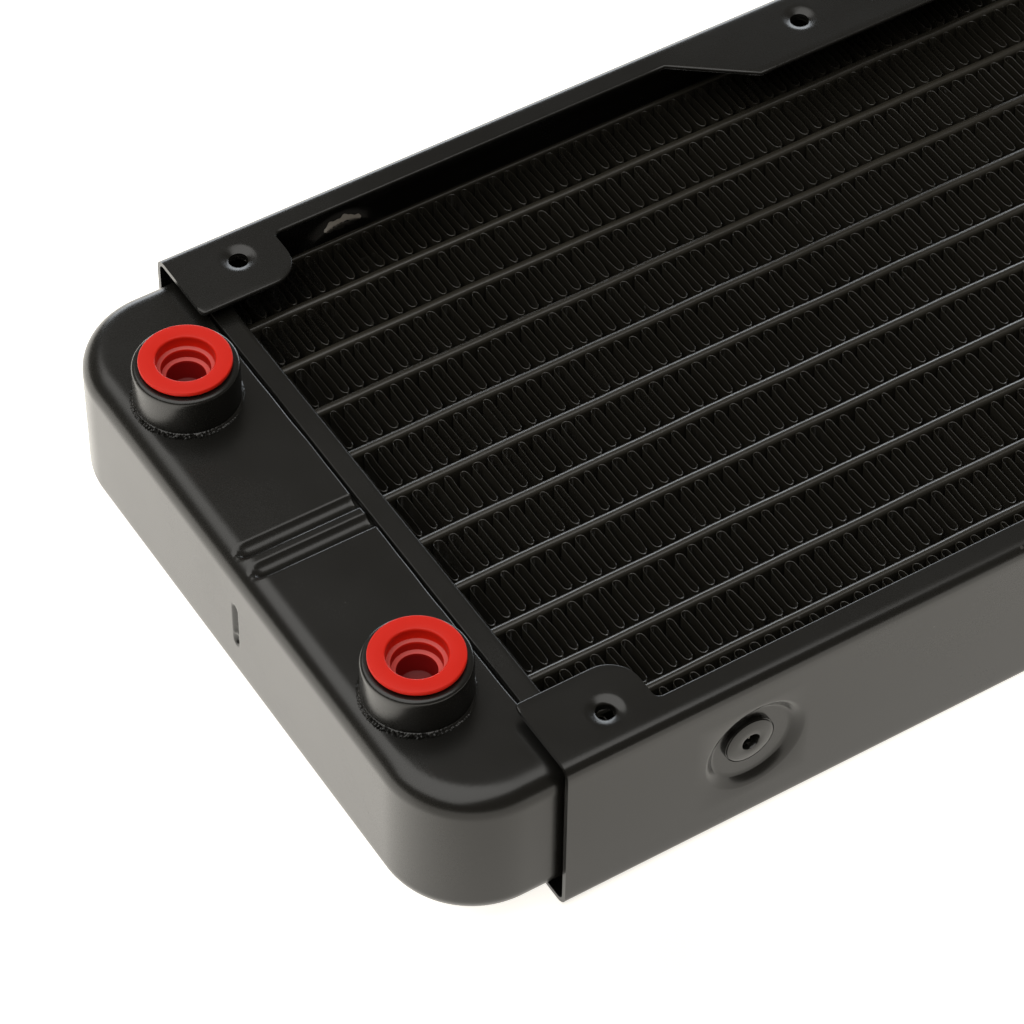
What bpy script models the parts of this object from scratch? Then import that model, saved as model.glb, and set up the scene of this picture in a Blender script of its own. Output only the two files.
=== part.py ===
"""Liquid cooling radiator, 240 mm class: two tanks joined by a brazed tube and fin core,
held between two folded side panels, with two threaded ports closed by pull-out plugs.

World frame: +Z up (the side the ports are on), +X along the length from the port tank to the
return tank, origin under the middle of the whole part on the surface it lies on.
The core frame used below has its X origin half way between the fan screw holes.
"""
import math

import bmesh
import bpy
from mathutils import Matrix

MM = 0.001

# ---------------------------------------------------------------- driving dimensions
FAN_SIZE = 120.0 * MM
FAN_HOLE_PITCH = 105.0 * MM
FAN_COUNT = 2

PANEL_HEIGHT = 31.6 * MM
PANEL_WIDTH = 118.7 * MM
PANEL_SHEET = 0.8 * MM
PANEL_BEND_RADIUS = 1.8 * MM
PANEL_END_MARGIN = 10.56 * MM

TUBE_COUNT = 10
CORE_SIDE_MARGIN = 4.0575 * MM
TUBE_THICKNESS = 2.0 * MM
TUBE_WALL = 0.35 * MM
CORE_DEPTH = 14.0 * MM
TUBE_THROUGH_HEADER = 1.2 * MM

FIN_PERIOD = 7.0 * MM
FIN_FOIL = 0.28 * MM
FIN_DEPTH = 13.4 * MM

HEADER_BEYOND_HOLE = 4.6 * MM
HEADER_SHEET = 1.0 * MM
HEADER_RIM = 3.7 * MM
HEADER_CORNER_RADIUS = 3.5 * MM

TANK_BELOW_PANEL_TOP = 2.8 * MM
TANK_SIDE_STEP = 1.85 * MM
TANK_WALL = 1.1 * MM
TANK_EDGE_RADIUS = 3.5 * MM
PORT_TANK_DEPTH = 22.12 * MM
PORT_TANK_CORNER_RADIUS = 14.6 * MM
RETURN_TANK_DEPTH = 10.3 * MM
RETURN_TANK_CORNER_RADIUS = 8.0 * MM

BEAD_WIDTH = 2.6 * MM
BEAD_DEPTH = 1.0 * MM
BEAD_SPACING = 4.4 * MM
BEAD_LIP_MARGIN = 1.4 * MM
BEAD_FRONT_MARGIN = 3.0 * MM
BAFFLE_THICKNESS = 1.5 * MM

PORT_FROM_HOLE = 19.64 * MM
PORT_SPACING = 67.06 * MM
COLLAR_DIAMETER = 16.45 * MM
COLLAR_HEIGHT = 6.8 * MM
COLLAR_RIM_ROUND = 0.6 * MM
COLLAR_BORE = 12.0 * MM
COLLAR_SPIGOT_WALL = 1.0 * MM
COLLAR_SPIGOT_LENGTH = 1.8 * MM

PLUG_FLANGE_DIAMETER = 14.3 * MM
PLUG_FLANGE_THICKNESS = 0.8 * MM
PLUG_STEM_LENGTH = 7.6 * MM
PLUG_FLOOR = 1.0 * MM
PLUG_MOUTH = 9.1 * MM
PLUG_LEDGE_STEP = 0.6 * MM
PLUG_LEDGE_DEPTH = 2.3 * MM
PLUG_TIP_CHAMFER = 0.6 * MM

SIDE_PLATE_SHEET = 1.0 * MM

TAB_PAST_HOLE = 7.7 * MM
TAB_BEYOND_HOLE = 7.3 * MM
TAB_CORNER_RADIUS = 5.0 * MM
FLANGE_REACH = 5.07 * MM
MIDDLE_TAB_HALF_TOP = 20.15 * MM
MIDDLE_TAB_HALF_FOOT = 32.5 * MM
NOTCH_CORNER_RADIUS = 1.2 * MM

SCREW_BORE = 3.3 * MM
SCREW_DIMPLE = 6.4 * MM
SCREW_DIMPLE_DEPTH = 0.5 * MM
SCREW_NECK = 5.2 * MM
SCREW_NECK_LENGTH = 1.2 * MM

RIVET_FROM_HOLE = 21.3 * MM
RIVET_ABOVE_MIDDLE = 1.2 * MM
RIVET_DISH = 16.8 * MM
RIVET_DISH_FLOOR = 14.2 * MM
RIVET_DISH_DEPTH = 1.35 * MM
RIVET_HEAD = 8.9 * MM
RIVET_HEAD_HEIGHT = 1.0 * MM
RIVET_HEAD_EDGE = 0.6 * MM
RIVET_SHANK = 4.8 * MM
RIVET_BULB = 6.2 * MM
RIVET_BULB_LENGTH = 1.5 * MM
MANDREL = 2.6 * MM
MANDREL_HEAD = 4.2 * MM
MANDREL_HEAD_LENGTH = 0.9 * MM
MANDREL_SUNK = 0.5 * MM

# ---------------------------------------------------------------- clearances
SEAT_GAP = 0.3 * MM
SEAM_GAP = 0.5 * MM
CUT_PAST = 2.0 * MM

ROUND_STEPS = 20
RIVET_STEPS = 10
HOLE_STEPS = 10
NOSE_STEPS = 4
CORNER_STEPS = 8
EDGE_STEPS = 4
BEND_STEPS = 3
SMOOTH_BELOW = 35
SHARP_EDGE = 60

# ---------------------------------------------------------------- derived places, core frame
HOLE_SPAN = (FAN_COUNT - 1) * FAN_SIZE + FAN_HOLE_PITCH
HOLE_XS = [-HOLE_SPAN / 2 + fan * FAN_SIZE + end * FAN_HOLE_PITCH
           for fan in range(FAN_COUNT) for end in (0, 1)]
LAST_HOLE_X = HOLE_SPAN / 2
PANEL_LENGTH = HOLE_SPAN + 2 * PANEL_END_MARGIN
MID_Z = PANEL_HEIGHT / 2
PANEL_FACE_Y = PANEL_WIDTH / 2
HOLE_Y = FAN_HOLE_PITCH / 2
TAB_REACH = PANEL_FACE_Y - HOLE_Y + TAB_PAST_HOLE

HEADER_FACE_X = LAST_HOLE_X + HEADER_BEYOND_HOLE
TANK_LIP_X = HEADER_FACE_X + HEADER_RIM + SEAM_GAP
CORE_CENTRE_X = (PORT_TANK_DEPTH - RETURN_TANK_DEPTH) / 2
TANK_HEIGHT = PANEL_HEIGHT - 2 * TANK_BELOW_PANEL_TOP
TANK_WIDTH = PANEL_WIDTH - 2 * TANK_SIDE_STEP
TANK_TOP_Z = MID_Z + TANK_HEIGHT / 2

SIDE_PLATE_INNER_Y = PANEL_FACE_Y - CORE_SIDE_MARGIN
SIDE_PLATE_OUTER_Y = SIDE_PLATE_INNER_Y + SIDE_PLATE_SHEET
TUBE_PITCH = (2 * SIDE_PLATE_INNER_Y + TUBE_THICKNESS) / (TUBE_COUNT + 1)
TUBE_YS = [(index - (TUBE_COUNT - 1) / 2) * TUBE_PITCH for index in range(TUBE_COUNT)]
FIN_GAP = TUBE_PITCH - TUBE_THICKNESS
FIN_YS = [TUBE_YS[0] - TUBE_PITCH / 2] + [y + TUBE_PITCH / 2 for y in TUBE_YS]
TUBE_HALF_LENGTH = HEADER_FACE_X + HEADER_SHEET + TUBE_THROUGH_HEADER

PORT_X = -(LAST_HOLE_X + PORT_FROM_HOLE)
PORT_YS = {"right": -PORT_SPACING / 2, "left": PORT_SPACING / 2}
RIVET_X = LAST_HOLE_X - RIVET_FROM_HOLE
RIVET_Z = MID_Z + RIVET_ABOVE_MIDDLE
DISH_FLOOR_Y = PANEL_FACE_Y - RIVET_DISH_DEPTH
RIVET_TAIL_REACH = SEAT_GAP + RIVET_BULB_LENGTH + SEAT_GAP + MANDREL_HEAD_LENGTH
COLLAR_TOP_Z = TANK_TOP_Z + SEAT_GAP + COLLAR_HEIGHT

BLACK_PAINT = ("black_paint", (0.018, 0.018, 0.017), 0.42, 0.0)
BLACK_CORE = ("black_core_paint", (0.022, 0.022, 0.021), 0.5, 0.0)
RED_PLASTIC = ("red_plug_plastic", (0.62, 0.02, 0.012), 0.38, 0.0)
BARE_ALUMINIUM = ("bare_aluminium", (0.6, 0.58, 0.55), 0.35, 1.0)


# ---------------------------------------------------------------- scene set-up and helpers
def clear_scene():
    for item in list(bpy.data.objects):
        bpy.data.objects.remove(item, do_unlink=True)


def new_collection(name):
    collection = bpy.data.collections.new(name)
    bpy.context.scene.collection.children.link(collection)
    return collection


def material(spec):
    """The named paint, plastic or metal, made once and shared."""
    name, colour, roughness, metallic = spec
    found = bpy.data.materials.get(name)
    if found:
        return found
    made = bpy.data.materials.new(name)
    made.use_nodes = True
    shader = made.node_tree.nodes["Principled BSDF"]
    shader.inputs["Base Color"].default_value = (*colour, 1.0)
    shader.inputs["Roughness"].default_value = roughness
    shader.inputs["Metallic"].default_value = metallic
    made.diffuse_color = (*colour, 1.0)
    return made


def add_object(name, data, location=(0, 0, 0), rotation=(0, 0, 0), spec=None, parent=None):
    """Put one sub-part in the radiator's collection, or a cutter when it has no finish."""
    made = bpy.data.objects.new(name, data)
    made.location = location
    made.rotation_euler = rotation
    if spec is None:
        CUTTERS.objects.link(made)
        made.hide_render = True
        made.display_type = "WIRE"
    else:
        PARTS.objects.link(made)
        data.materials.append(material(spec))
    made.parent = parent or CORE_FRAME
    return made


def mesh_from(bm, name, smooth_angle=None):
    mesh = bpy.data.meshes.new(name)
    bm.to_mesh(mesh)
    bm.free()
    if smooth_angle is not None:
        mesh.shade_smooth()
        mesh.set_sharp_from_angle(angle=math.radians(smooth_angle))
    return mesh


def box_mesh(name, size):
    bm = bmesh.new()
    bmesh.ops.create_cube(bm, size=1.0)
    bmesh.ops.scale(bm, vec=size, verts=bm.verts)
    return mesh_from(bm, name)


def cone_mesh(name, radius_low, radius_high, height, steps):
    bm = bmesh.new()
    bmesh.ops.create_cone(bm, cap_ends=True, segments=steps, radius1=radius_low,
                          radius2=radius_high, depth=height)
    return mesh_from(bm, name)


def arc(cx, cy, radius, start, end, steps):
    """Points on a circular arc, both ends included, angles in degrees."""
    return [(cx + radius * math.cos(math.radians(start + (end - start) * i / steps)),
             cy + radius * math.sin(math.radians(start + (end - start) * i / steps)))
            for i in range(steps + 1)]


def stadium(length, width, steps):
    """A slot outline with round ends, its length along local X."""
    run = (length - width) / 2
    return arc(run, 0, width / 2, -90, 90, steps) + arc(-run, 0, width / 2, 90, 270, steps)


def rounded_rectangle(length, width, radius, steps):
    points = []
    for quarter, (sx, sy) in enumerate(((1, 1), (-1, 1), (-1, -1), (1, -1))):
        centre_x = sx * (length / 2 - radius)
        centre_y = sy * (width / 2 - radius)
        points += arc(centre_x, centre_y, radius, 90 * quarter, 90 * quarter + 90, steps)
    return points


def prism_mesh(name, outlines, thickness):
    """Flat outlines, holes included, filled and given a thickness about local Z = 0."""
    curve = bpy.data.curves.new(name + "_outline", "CURVE")
    curve.dimensions = "2D"
    curve.fill_mode = "BOTH"
    curve.extrude = thickness / 2
    for outline in outlines:
        spline = curve.splines.new("POLY")
        spline.points.add(len(outline) - 1)
        for point, (x, y) in zip(spline.points, outline):
            point.co = (x, y, 0, 1)
        spline.use_cyclic_u = True
    guide = bpy.data.objects.new(name + "_guide", curve)
    CUTTERS.objects.link(guide)
    graph = bpy.context.evaluated_depsgraph_get()
    mesh = bpy.data.meshes.new_from_object(guide.evaluated_get(graph))
    bpy.data.objects.remove(guide, do_unlink=True)
    mesh.name = name
    bm = bmesh.new()
    bm.from_mesh(mesh)
    bmesh.ops.remove_doubles(bm, verts=bm.verts, dist=0.001 * MM)
    bmesh.ops.recalc_face_normals(bm, faces=bm.faces)
    bm.to_mesh(mesh)
    bm.free()
    return mesh


def turned(name, profile, steps, closed, **placing):
    """A turned piece: the profile is (radius, height) pairs, down its outer side."""
    bm = bmesh.new()
    verts = [bm.verts.new((radius, 0, height)) for radius, height in profile]
    pairs = list(zip(verts, verts[1:]))
    if closed:
        pairs.append((verts[-1], verts[0]))
    for start, end in pairs:
        bm.edges.new((start, end))
    piece = add_object(name, mesh_from(bm, name), **placing)
    screw = piece.modifiers.new("turn", "SCREW")
    screw.steps = steps
    screw.render_steps = steps
    screw.use_merge_vertices = True
    screw.merge_threshold = 0.01 * MM
    screw.use_smooth_shade = True
    return piece


def solidify(piece, thickness):
    shell = piece.modifiers.new("sheet", "SOLIDIFY")
    shell.thickness = thickness
    shell.offset = -1
    shell.use_even_offset = True


def combine(piece, other, operation):
    boolean = piece.modifiers.new(operation.lower() + "_" + other.name, "BOOLEAN")
    boolean.operation = operation
    boolean.object = other
    boolean.solver = "EXACT"


def cut(piece, *cutters):
    for cutter in cutters:
        combine(piece, cutter, "DIFFERENCE")


def join(piece, *extras):
    for extra in extras:
        combine(piece, extra, "UNION")


def joined_mesh(name, mesh, places):
    """Copies of one mesh at several places, as one cutter mesh of separate bodies."""
    bm = bmesh.new()
    for place in places:
        before = len(bm.verts)
        bm.from_mesh(mesh)
        bm.verts.ensure_lookup_table()
        bmesh.ops.translate(bm, verts=bm.verts[before:], vec=place)
    return mesh_from(bm, name)


# ---------------------------------------------------------------- tanks and header plates
def tank_shell(name, depth, corner_radius, **placing):
    """A deep-drawn box lying open on its +X side, its lip in the plane x = 0."""
    bm = bmesh.new()
    bmesh.ops.create_cube(bm, size=1.0)
    bmesh.ops.scale(bm, vec=(depth, TANK_WIDTH, TANK_HEIGHT), verts=bm.verts)
    bmesh.ops.translate(bm, vec=(-depth / 2, 0, 0), verts=bm.verts)
    mouth = [face for face in bm.faces if face.normal.x > 0.5]
    bmesh.ops.delete(bm, geom=mouth, context="FACES_ONLY")
    near_front = depth / 2
    corners = [edge for edge in bm.edges
               if abs(edge.verts[0].co.z - edge.verts[1].co.z) > TANK_HEIGHT / 2
               and edge.verts[0].co.x < -near_front]
    bmesh.ops.bevel(bm, geom=corners, offset=corner_radius, segments=CORNER_STEPS,
                    profile=0.5, affect="EDGES", offset_type="OFFSET")
    rims = [edge for edge in bm.edges
            if len(edge.link_faces) == 2
            and edge.calc_face_angle() > math.radians(SHARP_EDGE)]
    bmesh.ops.bevel(bm, geom=rims, offset=TANK_EDGE_RADIUS, segments=EDGE_STEPS,
                    profile=0.5, affect="EDGES", offset_type="OFFSET")
    bmesh.ops.recalc_face_normals(bm, faces=bm.faces)
    front = min(bm.faces, key=lambda face: face.calc_center_median().x)
    if front.normal.x > 0:
        bmesh.ops.reverse_faces(bm, faces=bm.faces)
    shell = add_object(name, mesh_from(bm, name, SMOOTH_BELOW), **placing)
    solidify(shell, TANK_WALL)
    return shell


def bead_tools(depth):
    """Inner pads and groove cutters for the two beads that grip the baffle, top and bottom."""
    run = depth - BEAD_LIP_MARGIN - BEAD_FRONT_MARGIN
    middle_x = -TANK_LIP_X - (BEAD_LIP_MARGIN + run / 2)
    pad_width = BEAD_SPACING + BEAD_WIDTH + 2 * TANK_WALL
    pad_height = BEAD_DEPTH + TANK_WALL / 2
    pad_outline = rounded_rectangle(run, pad_width, TANK_WALL, 2)
    pad_mesh = prism_mesh("bead_pad", [pad_outline], pad_height)
    half_width = BEAD_WIDTH / 2
    groove_radius = (half_width ** 2 + BEAD_DEPTH ** 2) / (2 * BEAD_DEPTH)
    groove_run = run - 2 * TANK_WALL - 2 * groove_radius
    axis_above = groove_radius - BEAD_DEPTH
    groove_mesh = round_bar_mesh("bead_groove", groove_radius, groove_run)
    pads = []
    grooves = []
    for side, sign in (("top", 1), ("bottom", -1)):
        pad_z = MID_Z + sign * (TANK_HEIGHT / 2 - TANK_WALL / 2 - pad_height / 2)
        pads.append(add_object("bead_pad_" + side, pad_mesh, (middle_x, 0, pad_z)))
        for row in (-1, 1):
            place = (middle_x, row * BEAD_SPACING / 2,
                     MID_Z + sign * (TANK_HEIGHT / 2 + axis_above))
            label = "bead_groove_%s_%d" % (side, row + 1)
            grooves.append(add_object(label, groove_mesh, place))
    return pads, grooves


def round_bar_mesh(name, radius, run):
    """A bar along X with half-ball ends: a ball pulled apart at its middle."""
    bm = bmesh.new()
    bmesh.ops.create_uvsphere(bm, u_segments=12, v_segments=8, radius=radius)
    bmesh.ops.rotate(bm, verts=bm.verts, cent=(0, 0, 0),
                     matrix=Matrix.Rotation(math.pi / 2, 3, "Y"))
    middle = 0.001 * radius
    belt = [edge for edge in bm.edges
            if all(abs(vert.co.x) < middle for vert in edge.verts)]
    bmesh.ops.split_edges(bm, edges=belt)
    pulled = [face for face in bm.faces if face.calc_center_median().x > 0]
    moving = {vert for face in pulled for vert in face.verts}
    bmesh.ops.translate(bm, verts=list(moving), vec=(run, 0, 0))
    open_edges = [edge for edge in bm.edges if edge.is_boundary]
    bmesh.ops.bridge_loops(bm, edges=open_edges)
    bmesh.ops.translate(bm, verts=bm.verts, vec=(-run / 2, 0, 0))
    bmesh.ops.recalc_face_normals(bm, faces=bm.faces)
    return mesh_from(bm, name)


def build_port_tank():
    tank = tank_shell("port_tank", PORT_TANK_DEPTH, PORT_TANK_CORNER_RADIUS,
                      location=(-TANK_LIP_X, 0, MID_Z), spec=BLACK_PAINT)
    pads, grooves = bead_tools(PORT_TANK_DEPTH)
    join(tank, *pads)
    cut(tank, *grooves)
    spigot_hole = COLLAR_BORE / 2 + COLLAR_SPIGOT_WALL + SEAT_GAP
    hole_height = 4 * TANK_WALL
    hole_mesh = cone_mesh("port_hole", spigot_hole, spigot_hole, hole_height, ROUND_STEPS)
    for side, y in PORT_YS.items():
        cut(tank, add_object("port_hole_" + side, hole_mesh, (PORT_X, y, TANK_TOP_Z)))


def build_return_tank():
    tank_shell("return_tank", RETURN_TANK_DEPTH, RETURN_TANK_CORNER_RADIUS,
               location=(TANK_LIP_X, 0, MID_Z), rotation=(0, 0, math.pi), spec=BLACK_PAINT)


def build_header_plates():
    """Shallow pressed pans that the tubes pass through; their rims meet the tanks' lips."""
    outer = rounded_rectangle(TANK_HEIGHT, TANK_WIDTH, HEADER_CORNER_RADIUS, EDGE_STEPS)
    inner = rounded_rectangle(TANK_HEIGHT - 2 * HEADER_SHEET, TANK_WIDTH - 2 * HEADER_SHEET,
                              HEADER_CORNER_RADIUS - HEADER_SHEET, EDGE_STEPS)
    pan_mesh = prism_mesh("header_pan", [outer], HEADER_RIM)
    hollow_mesh = prism_mesh("header_hollow", [inner], HEADER_RIM)
    slot = stadium(CORE_DEPTH + 2 * SEAT_GAP, TUBE_THICKNESS + 2 * SEAT_GAP, NOSE_STEPS)
    slot_mesh = prism_mesh("tube_slot", [slot], 2 * CUT_PAST)
    slots_mesh = joined_mesh("tube_slots", slot_mesh, [(0, y, 0) for y in TUBE_YS])
    for name, side in (("port_header_plate", -1), ("return_header_plate", 1)):
        upright = (0, side * math.pi / 2, 0)
        centre_x = side * (HEADER_FACE_X + HEADER_RIM / 2)
        plate = add_object(name, pan_mesh.copy(), (centre_x, 0, MID_Z), upright, BLACK_PAINT)
        hollow_x = centre_x + side * HEADER_SHEET
        slot_x = side * HEADER_FACE_X
        hollow = add_object(name + "_hollow", hollow_mesh, (hollow_x, 0, MID_Z), upright)
        slots = add_object(name + "_slots", slots_mesh, (slot_x, 0, MID_Z), upright)
        cut(plate, hollow, slots)


def build_baffle():
    """The divider across the port tank that makes the coolant go out and come back."""
    front_x = -TANK_LIP_X - PORT_TANK_DEPTH + TANK_WALL + SEAT_GAP
    back_x = -HEADER_FACE_X - HEADER_SHEET - SEAT_GAP
    height = TANK_HEIGHT - 2 * (TANK_WALL + BEAD_DEPTH + SEAT_GAP)
    size = (back_x - front_x, BAFFLE_THICKNESS, height)
    centre = ((back_x + front_x) / 2, 0, MID_Z)
    baffle = add_object("tank_baffle", box_mesh("tank_baffle", size), centre, spec=BLACK_CORE)
    corner = baffle.modifiers.new("corner", "BEVEL")
    corner.width = BAFFLE_THICKNESS / 4
    corner.segments = 1


# ---------------------------------------------------------------- core
def build_tubes():
    """Flat coolant tubes with round noses, open at both ends inside the tanks."""
    outer = stadium(CORE_DEPTH, TUBE_THICKNESS, NOSE_STEPS)
    inner = stadium(CORE_DEPTH - 2 * TUBE_WALL, TUBE_THICKNESS - 2 * TUBE_WALL, NOSE_STEPS)
    mesh = prism_mesh("flat_tube", [outer, inner], 2 * TUBE_HALF_LENGTH)
    for number, y in enumerate(TUBE_YS, 1):
        add_object("flat_tube_%02d" % number, mesh.copy(), (0, y, MID_Z),
                   (0, math.pi / 2, 0), BLACK_CORE)


def fin_ribbon_mesh():
    """A folded foil strip: an open zigzag ribbon standing on edge, its folds along X."""
    half_run = HEADER_FACE_X - SEAT_GAP - FIN_FOIL
    folds = 2 * int(half_run / (FIN_PERIOD / 2))
    leg_run = 2 * half_run / folds
    leg_half_angle = math.atan2(leg_run, FIN_GAP)
    reach = FIN_GAP / 2 - SEAT_GAP - FIN_FOIL / (2 * math.sin(leg_half_angle))
    bm = bmesh.new()
    last = None
    for fold in range(folds + 1):
        x = -half_run + fold * leg_run
        y = reach if fold % 2 else -reach
        low = bm.verts.new((x, y, -FIN_DEPTH / 2))
        high = bm.verts.new((x, y, FIN_DEPTH / 2))
        if last:
            bm.faces.new((last[0], low, high, last[1]))
        last = (low, high)
    return mesh_from(bm, "fin_ribbon")


def build_fins():
    ribbon = fin_ribbon_mesh()
    pocket_radius = RIVET_BULB / 2 + SEAT_GAP
    pocket_depth = 2 * (RIVET_TAIL_REACH + SEAT_GAP)
    pocket_mesh = cone_mesh("rivet_pocket", pocket_radius, pocket_radius, pocket_depth,
                            RIVET_STEPS)
    last_row = len(FIN_YS) - 1
    for row, y in enumerate(FIN_YS):
        strip = add_object("fin_strip_%02d" % (row + 1), ribbon.copy(), (0, y, MID_Z),
                           spec=BLACK_CORE)
        foil = strip.modifiers.new("foil", "SOLIDIFY")
        foil.thickness = FIN_FOIL
        foil.offset = 0
        foil.use_even_offset = True
        if row not in (0, last_row):
            continue
        plate_y = math.copysign(SIDE_PLATE_INNER_Y, y)
        for x in (-RIVET_X, RIVET_X):
            label = "rivet_pocket_%d_%s" % (row, "port" if x < 0 else "return")
            place = (x, plate_y, RIVET_Z)
            cut(strip, add_object(label, pocket_mesh, place, (math.pi / 2, 0, 0)))


def build_side_plates():
    """Flat strips brazed along the outer fin rows; the rivets hold the panels to them."""
    length = 2 * (HEADER_FACE_X - SEAT_GAP)
    plate_mesh = box_mesh("core_side_plate", (length, SIDE_PLATE_SHEET, CORE_DEPTH))
    hole_radius = RIVET_SHANK / 2 + SEAT_GAP
    hole_mesh = cone_mesh("side_plate_hole", hole_radius, hole_radius, 4 * SIDE_PLATE_SHEET,
                          RIVET_STEPS)
    holes_mesh = joined_mesh("side_plate_holes", hole_mesh, [(-RIVET_X, 0, 0), (RIVET_X, 0, 0)])
    for name, side in (("core_side_plate_right", -1), ("core_side_plate_left", 1)):
        y = side * (SIDE_PLATE_INNER_Y + SIDE_PLATE_SHEET / 2)
        plate = add_object(name, plate_mesh.copy(), (0, y, MID_Z), spec=BLACK_CORE)
        holes = add_object(name + "_holes", holes_mesh, (0, y, RIVET_Z), (math.pi / 2, 0, 0))
        cut(plate, holes)


# ---------------------------------------------------------------- folded side panels
def panel_sheet_mesh():
    """The right-hand panel before notching: a C of three flat strips, open sheet."""
    half = PANEL_LENGTH / 2
    tab_edge_y = -PANEL_FACE_Y + TAB_REACH
    section = [(tab_edge_y, MID_Z), (-PANEL_FACE_Y, MID_Z),
               (-PANEL_FACE_Y, -MID_Z), (tab_edge_y, -MID_Z)]
    bm = bmesh.new()
    ends = [[bm.verts.new((x, y, z)) for y, z in section] for x in (-half, half)]
    for index in range(len(section) - 1):
        bm.faces.new((ends[0][index], ends[1][index], ends[1][index + 1], ends[0][index + 1]))
    bmesh.ops.recalc_face_normals(bm, faces=bm.faces)
    web = min(bm.faces, key=lambda face: face.calc_center_median().y)
    if web.normal.y > 0:
        bmesh.ops.reverse_faces(bm, faces=bm.faces)
    folds = [edge for edge in bm.edges if len(edge.link_faces) == 2]
    bmesh.ops.bevel(bm, geom=folds, offset=PANEL_BEND_RADIUS, segments=BEND_STEPS,
                    profile=0.5, affect="EDGES", offset_type="OFFSET")
    return mesh_from(bm, "panel_sheet", SMOOTH_BELOW)


def notch_outline(direction):
    """Plan of the cut-out between an end tab and the middle tab, on one side of centre."""
    tab_x = LAST_HOLE_X - TAB_BEYOND_HOLE
    flange_y = -PANEL_FACE_Y + FLANGE_REACH
    tab_y = -PANEL_FACE_Y + TAB_REACH
    past_y = tab_y + CUT_PAST
    round_y = tab_y - TAB_CORNER_RADIUS
    small = NOTCH_CORNER_RADIUS
    ramp = (MIDDLE_TAB_HALF_FOOT - MIDDLE_TAB_HALF_TOP) / (TAB_REACH - FLANGE_REACH)
    past_x = MIDDLE_TAB_HALF_TOP - ramp * CUT_PAST
    points = [(MIDDLE_TAB_HALF_FOOT, flange_y)]
    points += arc(tab_x - small, flange_y + small, small, -90, 0, 3)
    points += arc(tab_x + TAB_CORNER_RADIUS, round_y, TAB_CORNER_RADIUS, 180, 90, 5)
    points += [(tab_x + TAB_CORNER_RADIUS, past_y), (past_x, past_y)]
    return [(direction * x, y) for x, y in points]


def panel_tools():
    """Cutters and extras of the right-hand panel, all in the panel's own frame."""
    frame = PANEL_FRAMES["right"]
    notches = []
    for label, direction in (("port", -1), ("return", 1)):
        mesh = prism_mesh("panel_notch_" + label, [notch_outline(direction)],
                          PANEL_HEIGHT + 2 * CUT_PAST)
        notches.append(add_object("panel_notch_" + label, mesh, parent=frame))
    hole_y = -HOLE_Y
    neck_height = SCREW_NECK_LENGTH + PANEL_SHEET / 2
    neck_z = MID_Z - PANEL_SHEET / 2 - neck_height / 2
    neck_mesh = cone_mesh("screw_neck", SCREW_NECK / 2, SCREW_NECK / 2, neck_height, HOLE_STEPS)
    neck_places = [(x, hole_y, level) for x in HOLE_XS for level in (-neck_z, neck_z)]
    necks = add_object("screw_necks", joined_mesh("screw_necks", neck_mesh, neck_places),
                       parent=frame)
    bore_height = PANEL_HEIGHT + 2 * CUT_PAST
    bore_mesh = cone_mesh("screw_bore", SCREW_BORE / 2, SCREW_BORE / 2, bore_height, HOLE_STEPS)
    bore_places = [(x, hole_y, 0) for x in HOLE_XS]
    bores = add_object("screw_bores", joined_mesh("screw_bores", bore_mesh, bore_places),
                       parent=frame)
    dimples = []
    for label, sign in (("top", 1), ("bottom", -1)):
        slope = (SCREW_DIMPLE - SCREW_BORE) / 2 / SCREW_DIMPLE_DEPTH
        radii = [SCREW_BORE / 2, SCREW_DIMPLE / 2 + slope * SCREW_DIMPLE_DEPTH]
        mesh = cone_mesh("screw_dimple_" + label, radii[sign < 0], radii[sign > 0],
                         2 * SCREW_DIMPLE_DEPTH, HOLE_STEPS)
        places = [(x, hole_y, sign * MID_Z) for x in HOLE_XS]
        dimples.append(add_object("screw_dimples_" + label,
                                  joined_mesh("screw_dimples_" + label, mesh, places),
                                  parent=frame))
    return notches, necks, bores, dimples


def dish_tools():
    """The round dishes pressed into the web, whose floors carry the rivets."""
    frame = PANEL_FRAMES["right"]
    spread = (RIVET_DISH - RIVET_DISH_FLOOR) / 2 / RIVET_DISH_DEPTH
    pad_inner = DISH_FLOOR_Y - PANEL_SHEET
    pad_outer = PANEL_FACE_Y - PANEL_SHEET / 2
    pad_height = pad_outer - pad_inner
    pad_floor = RIVET_DISH_FLOOR / 2 + PANEL_SHEET / 2
    pad_mesh = cone_mesh("dish_pad", pad_floor, pad_floor + spread * pad_height, pad_height,
                         ROUND_STEPS)
    hollow_height = RIVET_DISH_DEPTH + CUT_PAST
    hollow_mesh = cone_mesh("dish_hollow", RIVET_DISH_FLOOR / 2,
                            RIVET_DISH_FLOOR / 2 + spread * hollow_height, hollow_height,
                            ROUND_STEPS)
    hole_radius = RIVET_SHANK / 2 + SEAT_GAP
    hole_mesh = cone_mesh("dish_hole", hole_radius, hole_radius, 6 * PANEL_SHEET, RIVET_STEPS)
    pads = []
    cuts = []
    outward = (math.pi / 2, 0, 0)
    up = RIVET_ABOVE_MIDDLE
    pad_y = -(pad_inner + pad_height / 2)
    hollow_y = -(DISH_FLOOR_Y + hollow_height / 2)
    for label, x in (("port", -RIVET_X), ("return", RIVET_X)):
        pads.append(add_object("dish_pad_" + label, pad_mesh, (x, pad_y, up), outward,
                               parent=frame))
        cuts.append(add_object("dish_hollow_" + label, hollow_mesh, (x, hollow_y, up), outward,
                               parent=frame))
        cuts.append(add_object("dish_hole_" + label, hole_mesh, (x, -DISH_FLOOR_Y, up), outward,
                               parent=frame))
    return pads, cuts


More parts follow.
